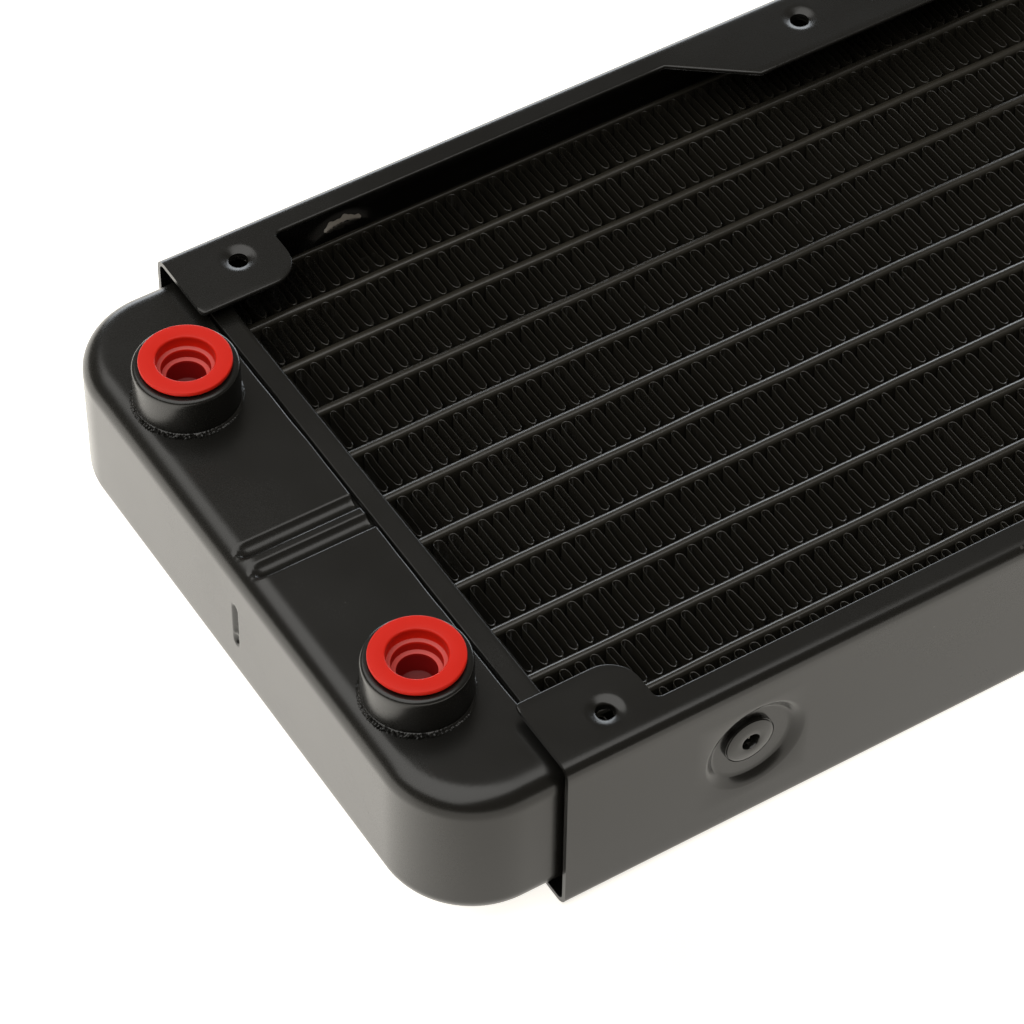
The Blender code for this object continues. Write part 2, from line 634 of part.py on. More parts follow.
def build_side_panels():
    """Two equal folded panels, the left one being the right one turned end for end."""
    sheet = panel_sheet_mesh()
    notches, necks, bores, dimples = panel_tools()
    pads, dish_cuts = dish_tools()
    panel = add_object("side_panel_right", sheet, parent=PANEL_FRAMES["right"],
                       spec=BLACK_PAINT)
    solidify(panel, PANEL_SHEET)
    cut(panel, *notches)
    join(panel, necks, *pads)
    cut(panel, bores, *dimples, *dish_cuts)
    graph = bpy.context.evaluated_depsgraph_get()
    finished = bpy.data.meshes.new_from_object(panel.evaluated_get(graph))
    finished.name = "side_panel_finished"
    finished.materials.clear()
    add_object("side_panel_left", finished, parent=PANEL_FRAMES["left"], spec=BLACK_PAINT)


# ---------------------------------------------------------------- rivets
def build_rivets():
    """Blind rivets through each dish floor and side plate, with the snapped mandrel inside."""
    floor_gap = SEAT_GAP
    head_top = RIVET_HEAD_HEIGHT
    grip = DISH_FLOOR_Y - SIDE_PLATE_INNER_Y + floor_gap
    bulb_start = -grip - SEAT_GAP
    tail = bulb_start - RIVET_BULB_LENGTH
    bore = MANDREL / 2 + SEAT_GAP
    shoulder = RIVET_HEAD / 4
    body = [(bore, head_top), (shoulder, head_top), (RIVET_HEAD / 2, RIVET_HEAD_EDGE),
            (RIVET_HEAD / 2, 0), (RIVET_SHANK / 2, 0), (RIVET_SHANK / 2, bulb_start),
            (RIVET_BULB / 2, bulb_start), (RIVET_BULB / 2, tail), (bore, tail)]
    stub_top = head_top - MANDREL_SUNK
    head_bottom = tail - SEAT_GAP - MANDREL_HEAD_LENGTH
    pin = [(0, stub_top), (MANDREL / 2, stub_top), (MANDREL / 2, tail - SEAT_GAP),
           (MANDREL_HEAD / 2, tail - SEAT_GAP), (MANDREL_HEAD / 2, head_bottom),
           (0, head_bottom)]
    seat_y = DISH_FLOOR_Y + floor_gap
    for side, sign in (("right", -1), ("left", 1)):
        for end, x in (("port", -RIVET_X), ("return", RIVET_X)):
            placing = {"location": (x, sign * seat_y, RIVET_Z),
                       "rotation": (-sign * math.pi / 2, 0, 0)}
            turned("rivet_%s_%s" % (side, end), body, RIVET_STEPS, True, spec=BLACK_PAINT,
                   **placing)
            turned("rivet_mandrel_%s_%s" % (side, end), pin, RIVET_STEPS, False,
                   spec=BARE_ALUMINIUM, **placing)


# ---------------------------------------------------------------- ports and their plugs
def build_collars():
    """Threaded bushes soldered into the tank roof; each is open right through."""
    top = COLLAR_HEIGHT
    outer = COLLAR_DIAMETER / 2
    bore = COLLAR_BORE / 2
    spigot = bore + COLLAR_SPIGOT_WALL
    rim = COLLAR_RIM_ROUND
    rim_arc = arc(outer - rim, top - rim, rim, 90, 0, 2)
    profile = [(bore + rim, top)] + rim_arc
    profile += [(outer, 0), (spigot, 0), (spigot, -COLLAR_SPIGOT_LENGTH),
                (bore, -COLLAR_SPIGOT_LENGTH), (bore, top - rim)]
    for side, y in PORT_YS.items():
        turned("port_collar_" + side, profile, ROUND_STEPS, True, spec=BLACK_PAINT,
               location=(PORT_X, y, TANK_TOP_Z + SEAT_GAP))


def build_plugs():
    """Hollow shipping plugs with a flange; they pull straight up out of the collars."""
    flange_under = 0.0
    flange_top = PLUG_FLANGE_THICKNESS
    flange = PLUG_FLANGE_DIAMETER / 2
    stem = COLLAR_BORE / 2 - SEAT_GAP
    mouth = PLUG_MOUTH / 2
    tip = flange_under - PLUG_STEM_LENGTH
    ledge_1 = flange_top - PLUG_LEDGE_DEPTH
    ledge_2 = ledge_1 - PLUG_LEDGE_DEPTH
    middle = mouth - PLUG_LEDGE_STEP
    inner = middle - PLUG_LEDGE_STEP
    floor = tip + PLUG_FLOOR
    profile = [(0, floor), (inner, floor), (inner, ledge_2), (middle, ledge_2),
               (middle, ledge_1), (mouth, ledge_1), (mouth, flange_top),
               (flange, flange_top), (flange, flange_under), (stem, flange_under),
               (stem, tip + PLUG_TIP_CHAMFER), (stem - PLUG_TIP_CHAMFER, tip), (0, tip)]
    for side, y in PORT_YS.items():
        axis = bpy.data.objects.new("plug_axis_" + side, None)
        PARTS.objects.link(axis)
        axis.location = (PORT_X, y, COLLAR_TOP_Z + SEAT_GAP)
        axis.parent = CORE_FRAME
        turned("port_plug_" + side, profile, ROUND_STEPS, False, spec=RED_PLASTIC,
               parent=axis)


# ---------------------------------------------------------------- build
clear_scene()
PARTS = new_collection("liquid_cooling_radiator")
CUTTERS = new_collection("cutters")
CORE_FRAME = bpy.data.objects.new("core_frame", None)
CORE_FRAME.location = (CORE_CENTRE_X, 0, 0)
PARTS.objects.link(CORE_FRAME)
PANEL_FRAMES = {}
for panel_side, panel_turn in (("right", 0.0), ("left", math.pi)):
    panel_frame = bpy.data.objects.new("panel_frame_" + panel_side, None)
    panel_frame.location = (0, 0, MID_Z)
    panel_frame.rotation_euler = (0, 0, panel_turn)
    panel_frame.parent = CORE_FRAME
    PARTS.objects.link(panel_frame)
    PANEL_FRAMES[panel_side] = panel_frame

build_port_tank()
build_return_tank()
build_header_plates()
build_baffle()
build_tubes()
build_fins()
build_side_plates()
build_side_panels()
build_rivets()
build_collars()
build_plugs()
bpy.context.view_layer.update()
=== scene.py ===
# %% [markdown]
# # A liquid cooling radiator, dressed over its measured frame
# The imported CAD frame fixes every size. This notebook builds the finer shapes that the frame leaves
# out, such as the thin folded fins, the pressed dimples and the paint, and lights them.

# %% Load the frame
import math

import bmesh
import bpy
import numpy as np
from mathutils import Matrix, Vector


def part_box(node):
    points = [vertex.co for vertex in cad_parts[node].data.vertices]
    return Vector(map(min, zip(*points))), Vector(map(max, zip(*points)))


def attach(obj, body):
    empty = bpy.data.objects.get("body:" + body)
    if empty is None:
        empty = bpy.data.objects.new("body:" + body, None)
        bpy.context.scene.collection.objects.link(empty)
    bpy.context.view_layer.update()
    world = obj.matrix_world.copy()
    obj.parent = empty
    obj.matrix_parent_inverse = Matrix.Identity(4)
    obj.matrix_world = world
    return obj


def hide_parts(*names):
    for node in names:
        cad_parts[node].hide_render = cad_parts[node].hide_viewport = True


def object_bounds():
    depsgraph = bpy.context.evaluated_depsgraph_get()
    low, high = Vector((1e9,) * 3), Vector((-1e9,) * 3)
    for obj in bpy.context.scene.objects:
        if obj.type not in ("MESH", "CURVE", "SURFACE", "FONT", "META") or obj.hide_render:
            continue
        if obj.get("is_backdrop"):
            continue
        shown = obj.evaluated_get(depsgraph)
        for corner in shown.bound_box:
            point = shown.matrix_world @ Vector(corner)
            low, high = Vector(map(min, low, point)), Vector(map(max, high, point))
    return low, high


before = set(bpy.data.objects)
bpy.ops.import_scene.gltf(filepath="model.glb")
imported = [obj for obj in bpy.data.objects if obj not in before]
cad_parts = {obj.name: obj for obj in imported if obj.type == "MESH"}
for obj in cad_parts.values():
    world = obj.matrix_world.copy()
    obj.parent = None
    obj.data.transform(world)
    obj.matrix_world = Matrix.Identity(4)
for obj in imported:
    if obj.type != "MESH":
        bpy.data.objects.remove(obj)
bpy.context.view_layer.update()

MM = 0.001

# %% [markdown]
# ## Places read from the frame
# Working in millimetres keeps the numbers readable. Every later cell starts from these corners, so
# a piece lies where its simpler stand-in lies.

# %% Corners of the frame's pieces


def node_box(name):
    """Low and high corner of one frame piece, in millimetres."""
    low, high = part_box(name)
    return np.array(low) / MM, np.array(high) / MM


panel_low, panel_high = node_box("side_panel_right")
tank_low, tank_high = node_box("port_tank")
return_low, return_high = node_box("return_tank")
pan_high = node_box("port_header_plate")[1]
core_x = (panel_low[0] + panel_high[0]) / 2
mid_z = (panel_low[2] + panel_high[2]) / 2
print("core centre x", round(core_x, 2), "middle height", round(mid_z, 2))

# %% [markdown]
# ## Small mesh tools
# Each piece is a list of points and a list of faces. A sheet of points in rows and columns covers
# most of them: `grid_faces` joins neighbours, and wraps round where the sheet closes on itself.

# %% Turn points and faces into an object
rng = np.random.default_rng(7)


def grid_faces(rows, columns, wrap_rows=False, wrap_columns=False):
    """Quads over a rows x columns sheet of points."""
    r = np.arange(rows if wrap_rows else rows - 1)
    c = np.arange(columns if wrap_columns else columns - 1)
    r, c = np.meshgrid(r, c, indexing="ij")
    r2, c2 = (r + 1) % rows, (c + 1) % columns
    quads = [r * columns + c, r2 * columns + c, r2 * columns + c2, r * columns + c2]
    return np.stack(quads, axis=-1).reshape(-1, 4)


def add_piece(name, points, faces, slot, replaces=(), body="radiator", sharp=40, weld=False):
    """Make one named object from millimetre points, riding on its body of the frame."""
    mesh = bpy.data.meshes.new(name)
    mesh.from_pydata((np.asarray(points, float) * MM).tolist(), [],
                     [list(map(int, face)) for face in faces])
    bm = bmesh.new()
    bm.from_mesh(mesh)
    if weld:
        bmesh.ops.remove_doubles(bm, verts=bm.verts, dist=0.002 * MM)
    bmesh.ops.recalc_face_normals(bm, faces=bm.faces)
    bm.to_mesh(mesh)
    bm.free()
    mesh.shade_smooth()
    mesh.set_sharp_from_angle(angle=math.radians(sharp))
    made = bpy.data.objects.new(name, mesh)
    bpy.context.scene.collection.objects.link(made)
    mesh.materials.append(finishes[slot])
    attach(made, body)
    if replaces:
        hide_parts(*replaces)
    return made


def spaced(*marks):
    """Grid lines: position, step, position, step, ..., position."""
    lines = [marks[0]]
    for start, step, end in zip(marks[0:-2:2], marks[1:-1:2], marks[2::2]):
        count = max(1, round((end - start) / step))
        lines.extend(np.linspace(start, end, count + 1)[1:])
    return np.array(lines, float)


def smooth_step(value):
    """0 below 0, 1 above 1, and a soft S between."""
    value = np.clip(value, 0.0, 1.0)
    return value * value * (3 - 2 * value)


def turned(profile, steps, wobble=None):
    """Points and faces of an (radius, height) outline turned about Z; it closes on itself."""
    profile = np.array(profile, float)
    angle = np.arange(steps) * 2 * math.pi / steps
    radius = profile[None, :, 0] * np.ones((steps, 1))
    height = profile[None, :, 1] * np.ones((steps, 1))
    if wobble is not None:
        radius, height = wobble(angle[:, None], radius, height)
    points = np.stack([radius * np.cos(angle)[:, None], radius * np.sin(angle)[:, None],
                       height], axis=-1)
    return points.reshape(-1, 3), grid_faces(steps, len(profile), True, True)


def round_corner(centre, radius, start, end, count):
    """Points of an arc, angles in degrees."""
    angles = np.radians(np.linspace(start, end, count))
    return [(centre[0] + radius * math.cos(a), centre[1] + radius * math.sin(a))
            for a in angles]


# %% [markdown]
# ## Shader tools
# Paint looks real when its colour, gloss and surface height all vary a little. The shared effects
# are node groups with named sockets, built once: fine grain, dust nibs, soft smears.

# %% Node helpers


def add_node(tree, kind, **inputs):
    """A node with its sockets set: a number or colour is stored, a socket is linked."""
    made = tree.nodes.new(kind)
    for key, value in inputs.items():
        if hasattr(made, key) and key.islower():
            setattr(made, key, value)
            continue
        socket = made.inputs[int(key[1:])] if key[0] == "_" else made.inputs[key.replace("_", " ")]
        if isinstance(value, bpy.types.NodeSocket):
            tree.links.new(value, socket)
        else:
            socket.default_value = value
    return made


def new_group(name, inputs, outputs):
    """An empty shader group with named float or colour sockets."""
    group = bpy.data.node_groups.new(name, "ShaderNodeTree")
    for label, default in inputs.items():
        socket = group.interface.new_socket(name=label, in_out="INPUT",
                                            socket_type="NodeSocketFloat")
        socket.default_value = default
    for label in outputs:
        group.interface.new_socket(name=label, in_out="OUTPUT", socket_type="NodeSocketFloat")
    return group, group.nodes.new("NodeGroupInput"), group.nodes.new("NodeGroupOutput")


def maths(tree, operation, first, second=0.0, third=0.0):
    """One sum in the shader tree, on sockets or numbers."""
    return add_node(tree, "ShaderNodeMath", operation=operation, _0=first, _1=second,
                    _2=third).outputs[0]


def blend(tree, share, first, second):
    """Mix two colours by a mask; each colour is a socket or three numbers."""
    made = add_node(tree, "ShaderNodeMix", data_type="RGBA", _0=share)
    for index, colour in ((6, first), (7, second)):
        if isinstance(colour, bpy.types.NodeSocket):
            tree.links.new(colour, made.inputs[index])
        else:
            made.inputs[index].default_value = (*colour, 1.0)
    return made.outputs[2]


# %% [markdown]
# ## Shared effects
# Every finish draws on the same four effects, each a group that gives a mask or a height; the
# fourth paints shade and a highlight on the plugs. They read object coordinates, so the grain has
# its true size on every piece.

# %% Shared group: paint grain, a coarse orange peel with a fine tooth on it
grain_group, grain_in, grain_out = new_group("paint_grain", {"Peel": 0.5, "Tooth": 0.5},
                                             ["Height", "Mask"])
place = add_node(grain_group, "ShaderNodeTexCoord").outputs["Object"]
peel = add_node(grain_group, "ShaderNodeTexNoise", Vector=place, Scale=900.0, Detail=2.0)
tooth = add_node(grain_group, "ShaderNodeTexNoise", Vector=place, Scale=5200.0, Detail=1.0)
peel_part = maths(grain_group, "MULTIPLY", peel.outputs["Fac"], grain_in.outputs["Peel"])
tooth_part = maths(grain_group, "MULTIPLY", tooth.outputs["Fac"], grain_in.outputs["Tooth"])
both = maths(grain_group, "ADD", peel_part, tooth_part)
grain_group.links.new(both, grain_out.inputs["Height"])
grain_group.links.new(tooth.outputs["Fac"], grain_out.inputs["Mask"])

# %% Shared group: nibs, the few specks of dust and spatter caught in the paint
nib_group, nib_in, nib_out = new_group("paint_nibs", {"Scale": 260.0, "Share": 0.1},
                                       ["Height", "Mask"])
place = add_node(nib_group, "ShaderNodeTexCoord").outputs["Object"]
cells = add_node(nib_group, "ShaderNodeTexVoronoi", Vector=place, Scale=nib_in.outputs["Scale"])
chance = add_node(nib_group, "ShaderNodeSeparateColor", Color=cells.outputs["Color"])
chosen = maths(nib_group, "LESS_THAN", chance.outputs["Red"], nib_in.outputs["Share"])
size = maths(nib_group, "MULTIPLY_ADD", chance.outputs["Green"], 0.09, 0.04)
bump = maths(nib_group, "SUBTRACT", 1.0, maths(nib_group, "DIVIDE", cells.outputs["Distance"],
                                               size))
bump = maths(nib_group, "MULTIPLY", maths(nib_group, "MAXIMUM", bump, 0.0), chosen)
nib_group.links.new(bump, nib_out.inputs["Height"])
nib_group.links.new(maths(nib_group, "GREATER_THAN", bump, 0.35), nib_out.inputs["Mask"])

# %% Shared group: smears, the slow change of gloss where the paint lies thicker or was handled
smear_group, smear_in, smear_out = new_group("soft_smears", {"Scale": 28.0}, ["Mask"])
place = add_node(smear_group, "ShaderNodeTexCoord").outputs["Object"]
slow = add_node(smear_group, "ShaderNodeTexNoise", Vector=place, Scale=smear_in.outputs["Scale"],
                Detail=4.0, Roughness=0.6)
smear_group.links.new(slow.outputs["Fac"], smear_out.inputs["Mask"])

# %% Shared group: depth shade, painted shade for thin plastic that glows at the mouth and dulls further down, and a painted highlight on its inner ledges
LEDGES = (2.03, 3.7)
SHADE_ENDS = (2.5, 4.2)
SHADES = (0.42, 0.3)
LEDGE_BAND = 0.04
depth_group, depth_in, depth_out = new_group("depth_shade", {"Top": 0.036}, ["Mask", "LedgeHighlight"])
place = add_node(depth_group, "ShaderNodeSeparateXYZ",
                 Vector=add_node(depth_group, "ShaderNodeTexCoord").outputs["Object"])
below = maths(depth_group, "SUBTRACT", depth_in.outputs["Top"], place.outputs["Z"])
shades = []
ledge_highlights = []
# Painted shade deepens in two steps below the top; a thin band at each ledge marks a painted
# highlight.
for ledge, shade_end, shade in zip(LEDGES, SHADE_ENDS, SHADES):
    step = add_node(depth_group, "ShaderNodeMapRange", Value=below, From_Min=(ledge + 0.05) * MM,
                    From_Max=shade_end * MM, To_Min=1.0, To_Max=shade)
    shades.append(step.outputs[0])
    ledge_highlights.append(maths(depth_group, "COMPARE", below, ledge * MM, LEDGE_BAND * MM))
depth_group.links.new(maths(depth_group, "MULTIPLY", *shades), depth_out.inputs["Mask"])
depth_group.links.new(maths(depth_group, "MAXIMUM", *ledge_highlights), depth_out.inputs["LedgeHighlight"])
print("shader groups:", [g.name for g in bpy.data.node_groups])

# %% [markdown]
# ## The four finishes
# Satin black over the tanks and panels, a duller black in the core, a soft red plastic and bare
# aluminium. Their colour is nearly constant on the real thing; the gloss and the grain are not.

# %% Build a finish from the shared groups


def add_finish(slot, dark, light, gloss, metallic=0.0, peel=0.5, tooth=0.5, relief=0.004,
               nib_share=0.08, nib_colour=(0.05, 0.048, 0.045), deep=None, ledge=None):
    """One material: colour, roughness and height all vary through the shared groups.

    With `deep` and `ledge` colours it also paints shade that deepens below the plugs' top, and a
    painted highlight on the plugs' inner ledges."""
    made = bpy.data.materials.new(slot + "_look")
    made.use_nodes = True
    tree = made.node_tree
    shader = tree.nodes["Principled BSDF"]
    grain = add_node(tree, "ShaderNodeGroup", node_tree=grain_group)
    grain.inputs["Peel"].default_value = peel
    grain.inputs["Tooth"].default_value = tooth
    nibs = add_node(tree, "ShaderNodeGroup", node_tree=nib_group)
    nibs.inputs["Share"].default_value = nib_share
    smears = add_node(tree, "ShaderNodeGroup", node_tree=smear_group)
    tone = blend(tree, smears.outputs["Mask"], dark, light)
    colour = blend(tree, nibs.outputs["Mask"], tone, nib_colour)
    # Painted shade: the colour darkens to `deep` below the plugs' top, and turns to `ledge` as a
    # painted highlight on the inner ledges.
    if deep:
        shade = add_node(tree, "ShaderNodeGroup", node_tree=depth_group)
        shade.inputs["Top"].default_value = plug_top * MM
        colour = blend(tree, shade.outputs["Mask"], deep, colour)
        colour = blend(tree, shade.outputs["LedgeHighlight"], colour, ledge)
        shader.inputs["Specular IOR Level"].default_value = 0.2
    tree.links.new(colour, shader.inputs["Base Color"])
    rough = add_node(tree, "ShaderNodeMapRange", Value=smears.outputs["Mask"], From_Min=0.3,
                     From_Max=0.7, To_Min=gloss[0], To_Max=gloss[1])
    fine = maths(tree, "MULTIPLY_ADD", grain.outputs["Mask"], 0.06, rough.outputs[0])
    tree.links.new(fine, shader.inputs["Roughness"])
    shader.inputs["Metallic"].default_value = metallic
    height = maths(tree, "ADD", grain.outputs["Height"], nibs.outputs["Height"])
    bump = add_node(tree, "ShaderNodeBump", Height=height, Strength=1.0)
    bump.inputs["Distance"].default_value = relief * MM
    tree.links.new(bump.outputs["Normal"], shader.inputs["Normal"])
    return made


plug_top = node_box("port_plug_left")[1][2]
finishes = {
    "black_paint": add_finish("black_paint", (0.0056, 0.0054, 0.0046), (0.0078, 0.0075, 0.0064),
                              (0.19, 0.26)),
    "black_core_paint": add_finish("black_core_paint", (0.017, 0.0155, 0.012),
                                   (0.026, 0.0235, 0.018), (0.17, 0.26), nib_share=0.2),
    # The red plastic's deep colour is painted shade inside the bore, and its ledge colour a painted
    # highlight.
    "red_plug_plastic": add_finish("red_plug_plastic", (0.6, 0.012, 0.004),
                                   (0.66, 0.018, 0.007), (0.3, 0.42), tooth=0.3,
                                   relief=0.003, nib_share=0.02, nib_colour=(0.7, 0.2, 0.16),
                                   deep=(0.1, 0.003, 0.004), ledge=(0.6, 0.085, 0.075)),
    "bare_aluminium": add_finish("bare_aluminium", (0.42, 0.4, 0.37), (0.62, 0.6, 0.56),
                                 (0.2, 0.42), metallic=1.0, relief=0.01, nib_share=0.0),
}
print("finishes:", list(finishes))

# %% [markdown]
# ## Boxes with rounded corners and edges
# A tank or a header pan is a box left open on one side. Its skin starts as a gridded box, and each
# point moves to the nearest place on the rounded shape, so corners and edges come out exact.

# %% Gridded skin of an open box, and the rounding


def box_skin(lines, open_axis=None, open_end=None):
    """Points and quads of a box's skin cut by the grid lines, without the open side."""
    blocks = []
    quads = []
    total = 0
    for axis in range(3):
        u, v = [a for a in range(3) if a != axis]
        for end in (0, -1):
            if (axis, end) == (open_axis, open_end):
                continue
            grid_u, grid_v = np.meshgrid(lines[u], lines[v], indexing="ij")
            block = np.empty(grid_u.shape + (3,))
            block[..., axis] = lines[axis][end]
            block[..., u] = grid_u
            block[..., v] = grid_v
            quads.append(grid_faces(*grid_u.shape) + total)
            blocks.append(block.reshape(-1, 3))
            total += len(blocks[-1])
    points = np.round(np.concatenate(blocks), 5)
    unique, index = np.unique(points, axis=0, return_inverse=True)
    return unique, index.reshape(-1)[np.concatenate(quads)]


def rounded(points, low, high, flat_axis, corner, edge):
    """Corners round about flat_axis with one radius, the other edges with a smaller one."""
    core_low = low + corner
    core_high = high - corner
    centre = np.clip(points, core_low, core_high)
    out = points - centre
    out[:, flat_axis] = 0
    reach = np.linalg.norm(out, axis=1, keepdims=True)
    pulled = centre + out / np.maximum(reach, 1e-9) * (corner - edge)
    inner = np.where(reach > corner - edge, pulled, points)
    inner[:, flat_axis] = np.clip(points[:, flat_axis], low[flat_axis] + edge,
                                  high[flat_axis] - edge)
    away = points - inner
    return inner + away / np.maximum(np.linalg.norm(away, axis=1, keepdims=True), 1e-9) * edge


# %% Sheet-metal box: an outer skin, an inner skin and the rim that joins them


def open_shell(lines, open_axis, open_end, flat_axis, corner, edge, wall, shape=None):
    """A rounded open box of sheet metal: outer skin, inner skin and the rim between them."""
    box_points, quads = box_skin(lines, open_axis, open_end)
    low, high = box_points.min(0), box_points.max(0)
    mouth = lines[open_axis][open_end]
    far = low.copy(), high.copy()
    far[0 if open_end == 0 else 1][open_axis] += -1000 if open_end == 0 else 1000
    outer = rounded(box_points, far[0], far[1], flat_axis, corner, edge)
    in_low, in_high = low + wall, high - wall
    if open_end == 0:
        in_low[open_axis] = mouth
        far[0][open_axis] -= wall
    else:
        in_high[open_axis] = mouth
        far[1][open_axis] += wall
    share = (box_points - low) / (high - low)
    inner_start = in_low + share * (in_high - in_low)
    inner = rounded(inner_start, far[0] + wall, far[1] - wall, flat_axis,
                    max(corner - wall, 0.3), max(edge - wall, 0.2))
    if shape is not None:
        outer = shape(outer)
        inner = shape(inner)
    count = len(outer)
    edges = np.sort(np.concatenate([quads[:, [0, 1]], quads[:, [1, 2]], quads[:, [2, 3]],
                                    quads[:, [3, 0]]]), axis=1)
    pairs, uses = np.unique(edges, axis=0, return_counts=True)
    rim = pairs[uses == 1]
    rim_quads = np.stack([rim[:, 0], rim[:, 1], rim[:, 1] + count, rim[:, 0] + count], axis=1)
    faces = np.concatenate([quads, quads[:, ::-1] + count, rim_quads])
    return np.concatenate([outer, inner]), faces


def soften_edges(piece, width, angle=45):
    """A fine rounding on the cut edges, which is where paint catches the light."""
    bevel = piece.modifiers.new("paint_round", "BEVEL")
    bevel.width = width * MM
    bevel.segments = 2
    bevel.limit_method = "ANGLE"
    bevel.angle_limit = math.radians(angle)


# %% [markdown]
# ## The port tank
# It is deep-drawn from one sheet, with large round corners in front and a soft edge all round. Two
# grooves are pressed across its top, and one short tick is stamped in its front face. The lip that
# meets the core is never quite straight: it bows back beside each port, where the heat went in.

# %% Port tank
SHEET = 1.1
FRONT_CORNER = 14.6
TANK_EDGE = 3.6
LIP_ROUND = 0.42
GROOVE_YS = (-2.2, 2.2)
GROOVE_HALF = 1.65
GROOVE_DEPTH = 0.95
GROOVE_START = 3.6
GROOVE_END = 0.6
TICK_Y = 0.0
TICK_Z = mid_z + 0.3
TICK_HALF = 0.62
TICK_REACH = 3.6
TICK_DEPTH = 0.6
WAIST_BELOW = 2.3
WAIST_HALF = 0.45
FLAT_FROM = 9.5
LIP_LENGTH = 7.0
LIP_FORWARD = 0.24
LIP_BOWS = (0.12, 0.15)
BOW_HALF = 9.0
LIP_WAVER = 0.07
TOP_WAVE = 0.025
port_ys = [float(sum(corner[1] for corner in node_box(f"port_collar_{side}")) / 2)
           for side in ("right", "left")]


def ripple(x, y, scale, seed):
    """A slow smooth waviness in two directions, between about -1 and 1."""
    return (np.sin(x / scale + seed) * np.sin(y / scale * 1.3 + 2.1 * seed)
            + 0.5 * np.sin((x + y) / scale * 1.9 + 3.7 * seed))


def capsule(x, y, start, end, centre_y):
    """Distance from a straight stroke along X."""
    past = np.maximum(np.maximum(start - x, x - end), 0)
    return np.hypot(past, y - centre_y)


def groove_drop(distance):
    """Depth of a pressed groove: round-bottomed, running out softly at its edges."""
    share = np.clip(distance / GROOVE_HALF, 0, 1)
    return GROOVE_DEPTH * (1 - share ** 2) ** 1.35


def port_tank_shape(points):
    """The pressed grooves, the stamped tick and the bowed lip."""
    x, y, z = points.T.copy()
    side = np.sign(z - mid_z)
    flat = smooth_step(np.abs(z - mid_z) - FLAT_FROM)
    start = tank_low[0] + GROOVE_START
    end = tank_high[0] - GROOVE_END
    for centre_y in GROOVE_YS:
        z -= side * flat * groove_drop(capsule(x, y, start, end, centre_y))
    beyond = np.maximum(np.abs(z - TICK_Z) - TICK_REACH, 0)
    tick = smooth_step(1.5 - np.hypot(y - TICK_Y, beyond) / TICK_HALF)
    tick *= 1 - 0.7 * np.exp(-((z - TICK_Z + WAIST_BELOW) / WAIST_HALF) ** 2)
    x += smooth_step(tank_low[0] + 2.0 - x) * TICK_DEPTH * tick
    lip = smooth_step((x - (tank_high[0] - LIP_LENGTH)) / LIP_LENGTH)
    top = smooth_step((z - mid_z - 6) / 6)
    x += LIP_FORWARD * lip
    for port_y, bow in zip(port_ys, LIP_BOWS):
        x -= lip * top * bow * np.exp(-((y - port_y) / BOW_HALF) ** 2)
    x -= lip * LIP_WAVER * (1 + ripple(y, z, 3.1, 0.6))
    z -= side * flat * TOP_WAVE * (1 + ripple(x, y, 11.0, 0.4))
    return np.stack([x, y, z], axis=1)


# %% Build the port tank: the grid lines lie closer where the shape turns
half_y = tank_high[1]
x_lines = spaced(tank_low[0], 0.8, tank_low[0] + 8, 0.8, tank_high[0] - 5, 0.35, tank_high[0])
y_lines = spaced(-half_y, 0.9, -half_y + 16, 1.5, -5, 0.2, 5, 1.5, half_y - 16, 0.9, half_y)
z_lines = spaced(tank_low[2], 0.45, tank_low[2] + 4.5, 0.35, tank_high[2] - 4.5, 0.45,
                 tank_high[2])
points, faces = open_shell((x_lines, y_lines, z_lines), 0, -1, 2, FRONT_CORNER, TANK_EDGE,
                           SHEET, port_tank_shape)
port_tank = add_piece("port_tank_shell", points, faces, "black_paint", ["port_tank"])
soften_edges(port_tank, LIP_ROUND)
print("port tank:", len(points), "points, depth", round(tank_high[0] - tank_low[0], 1), "mm")

# %% [markdown]
# ## The return tank
# The far tank is shallower and carries nothing, so `open_shell` builds it with smaller corners.

# %% Return tank
RETURN_CORNER = 8.0
RETURN_LIP = 5.0


def return_tank_shape(points):
    """Only the lip wanders, away from the core."""
    x, y, z = points.T.copy()
    lip = smooth_step((return_low[0] + RETURN_LIP - x) / RETURN_LIP)
    x += lip * 0.08 * (1 + ripple(y, z, 2.9, 1.3))
    return np.stack([x, y, z], axis=1)


x_lines = spaced(return_low[0], 0.4, return_low[0] + 2, 0.9, return_high[0])
y_lines = spaced(-half_y, 0.8, -half_y + 10, 1.8, half_y - 10, 0.8, half_y)
points, faces = open_shell((x_lines, y_lines, z_lines), 0, 0, 2, RETURN_CORNER, TANK_EDGE,
                           SHEET, return_tank_shape)
return_tank = add_piece("return_tank_shell", points, faces, "black_paint", ["return_tank"])
soften_edges(return_tank, LIP_ROUND)
print("return tank depth:", round(return_high[0] - return_low[0], 1), "mm")

# %% [markdown]
# ## The header pans
# Each pan closes a tank towards the core. Its rim shows as a flat strip beside the tank's lip, and a
# narrower collar inside reaches under the lip, so no light comes through the seam.

# %% Header pans
PAN_SHEET = 1.0
PAN_EDGE = 0.45
PAN_CORNER = 3.5
TONGUE_REACH = 2.6
TONGUE_OVERLAP = 1.2
TONGUE_INSET = 1.3
TONGUE_EDGE = 0.3
TONGUE_SHEET = 0.6
tube_nodes = sorted(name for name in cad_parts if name.startswith("flat_tube"))


def header_shape(points):
    """The rims are a little wavy above and below."""
    x, y, z = points.T.copy()
    z += 0.03 * ripple(x, y, 7.0, 0.9) * smooth_step((np.abs(z - mid_z) - 8) / 3)
    return np.stack([x, y, z], axis=1)


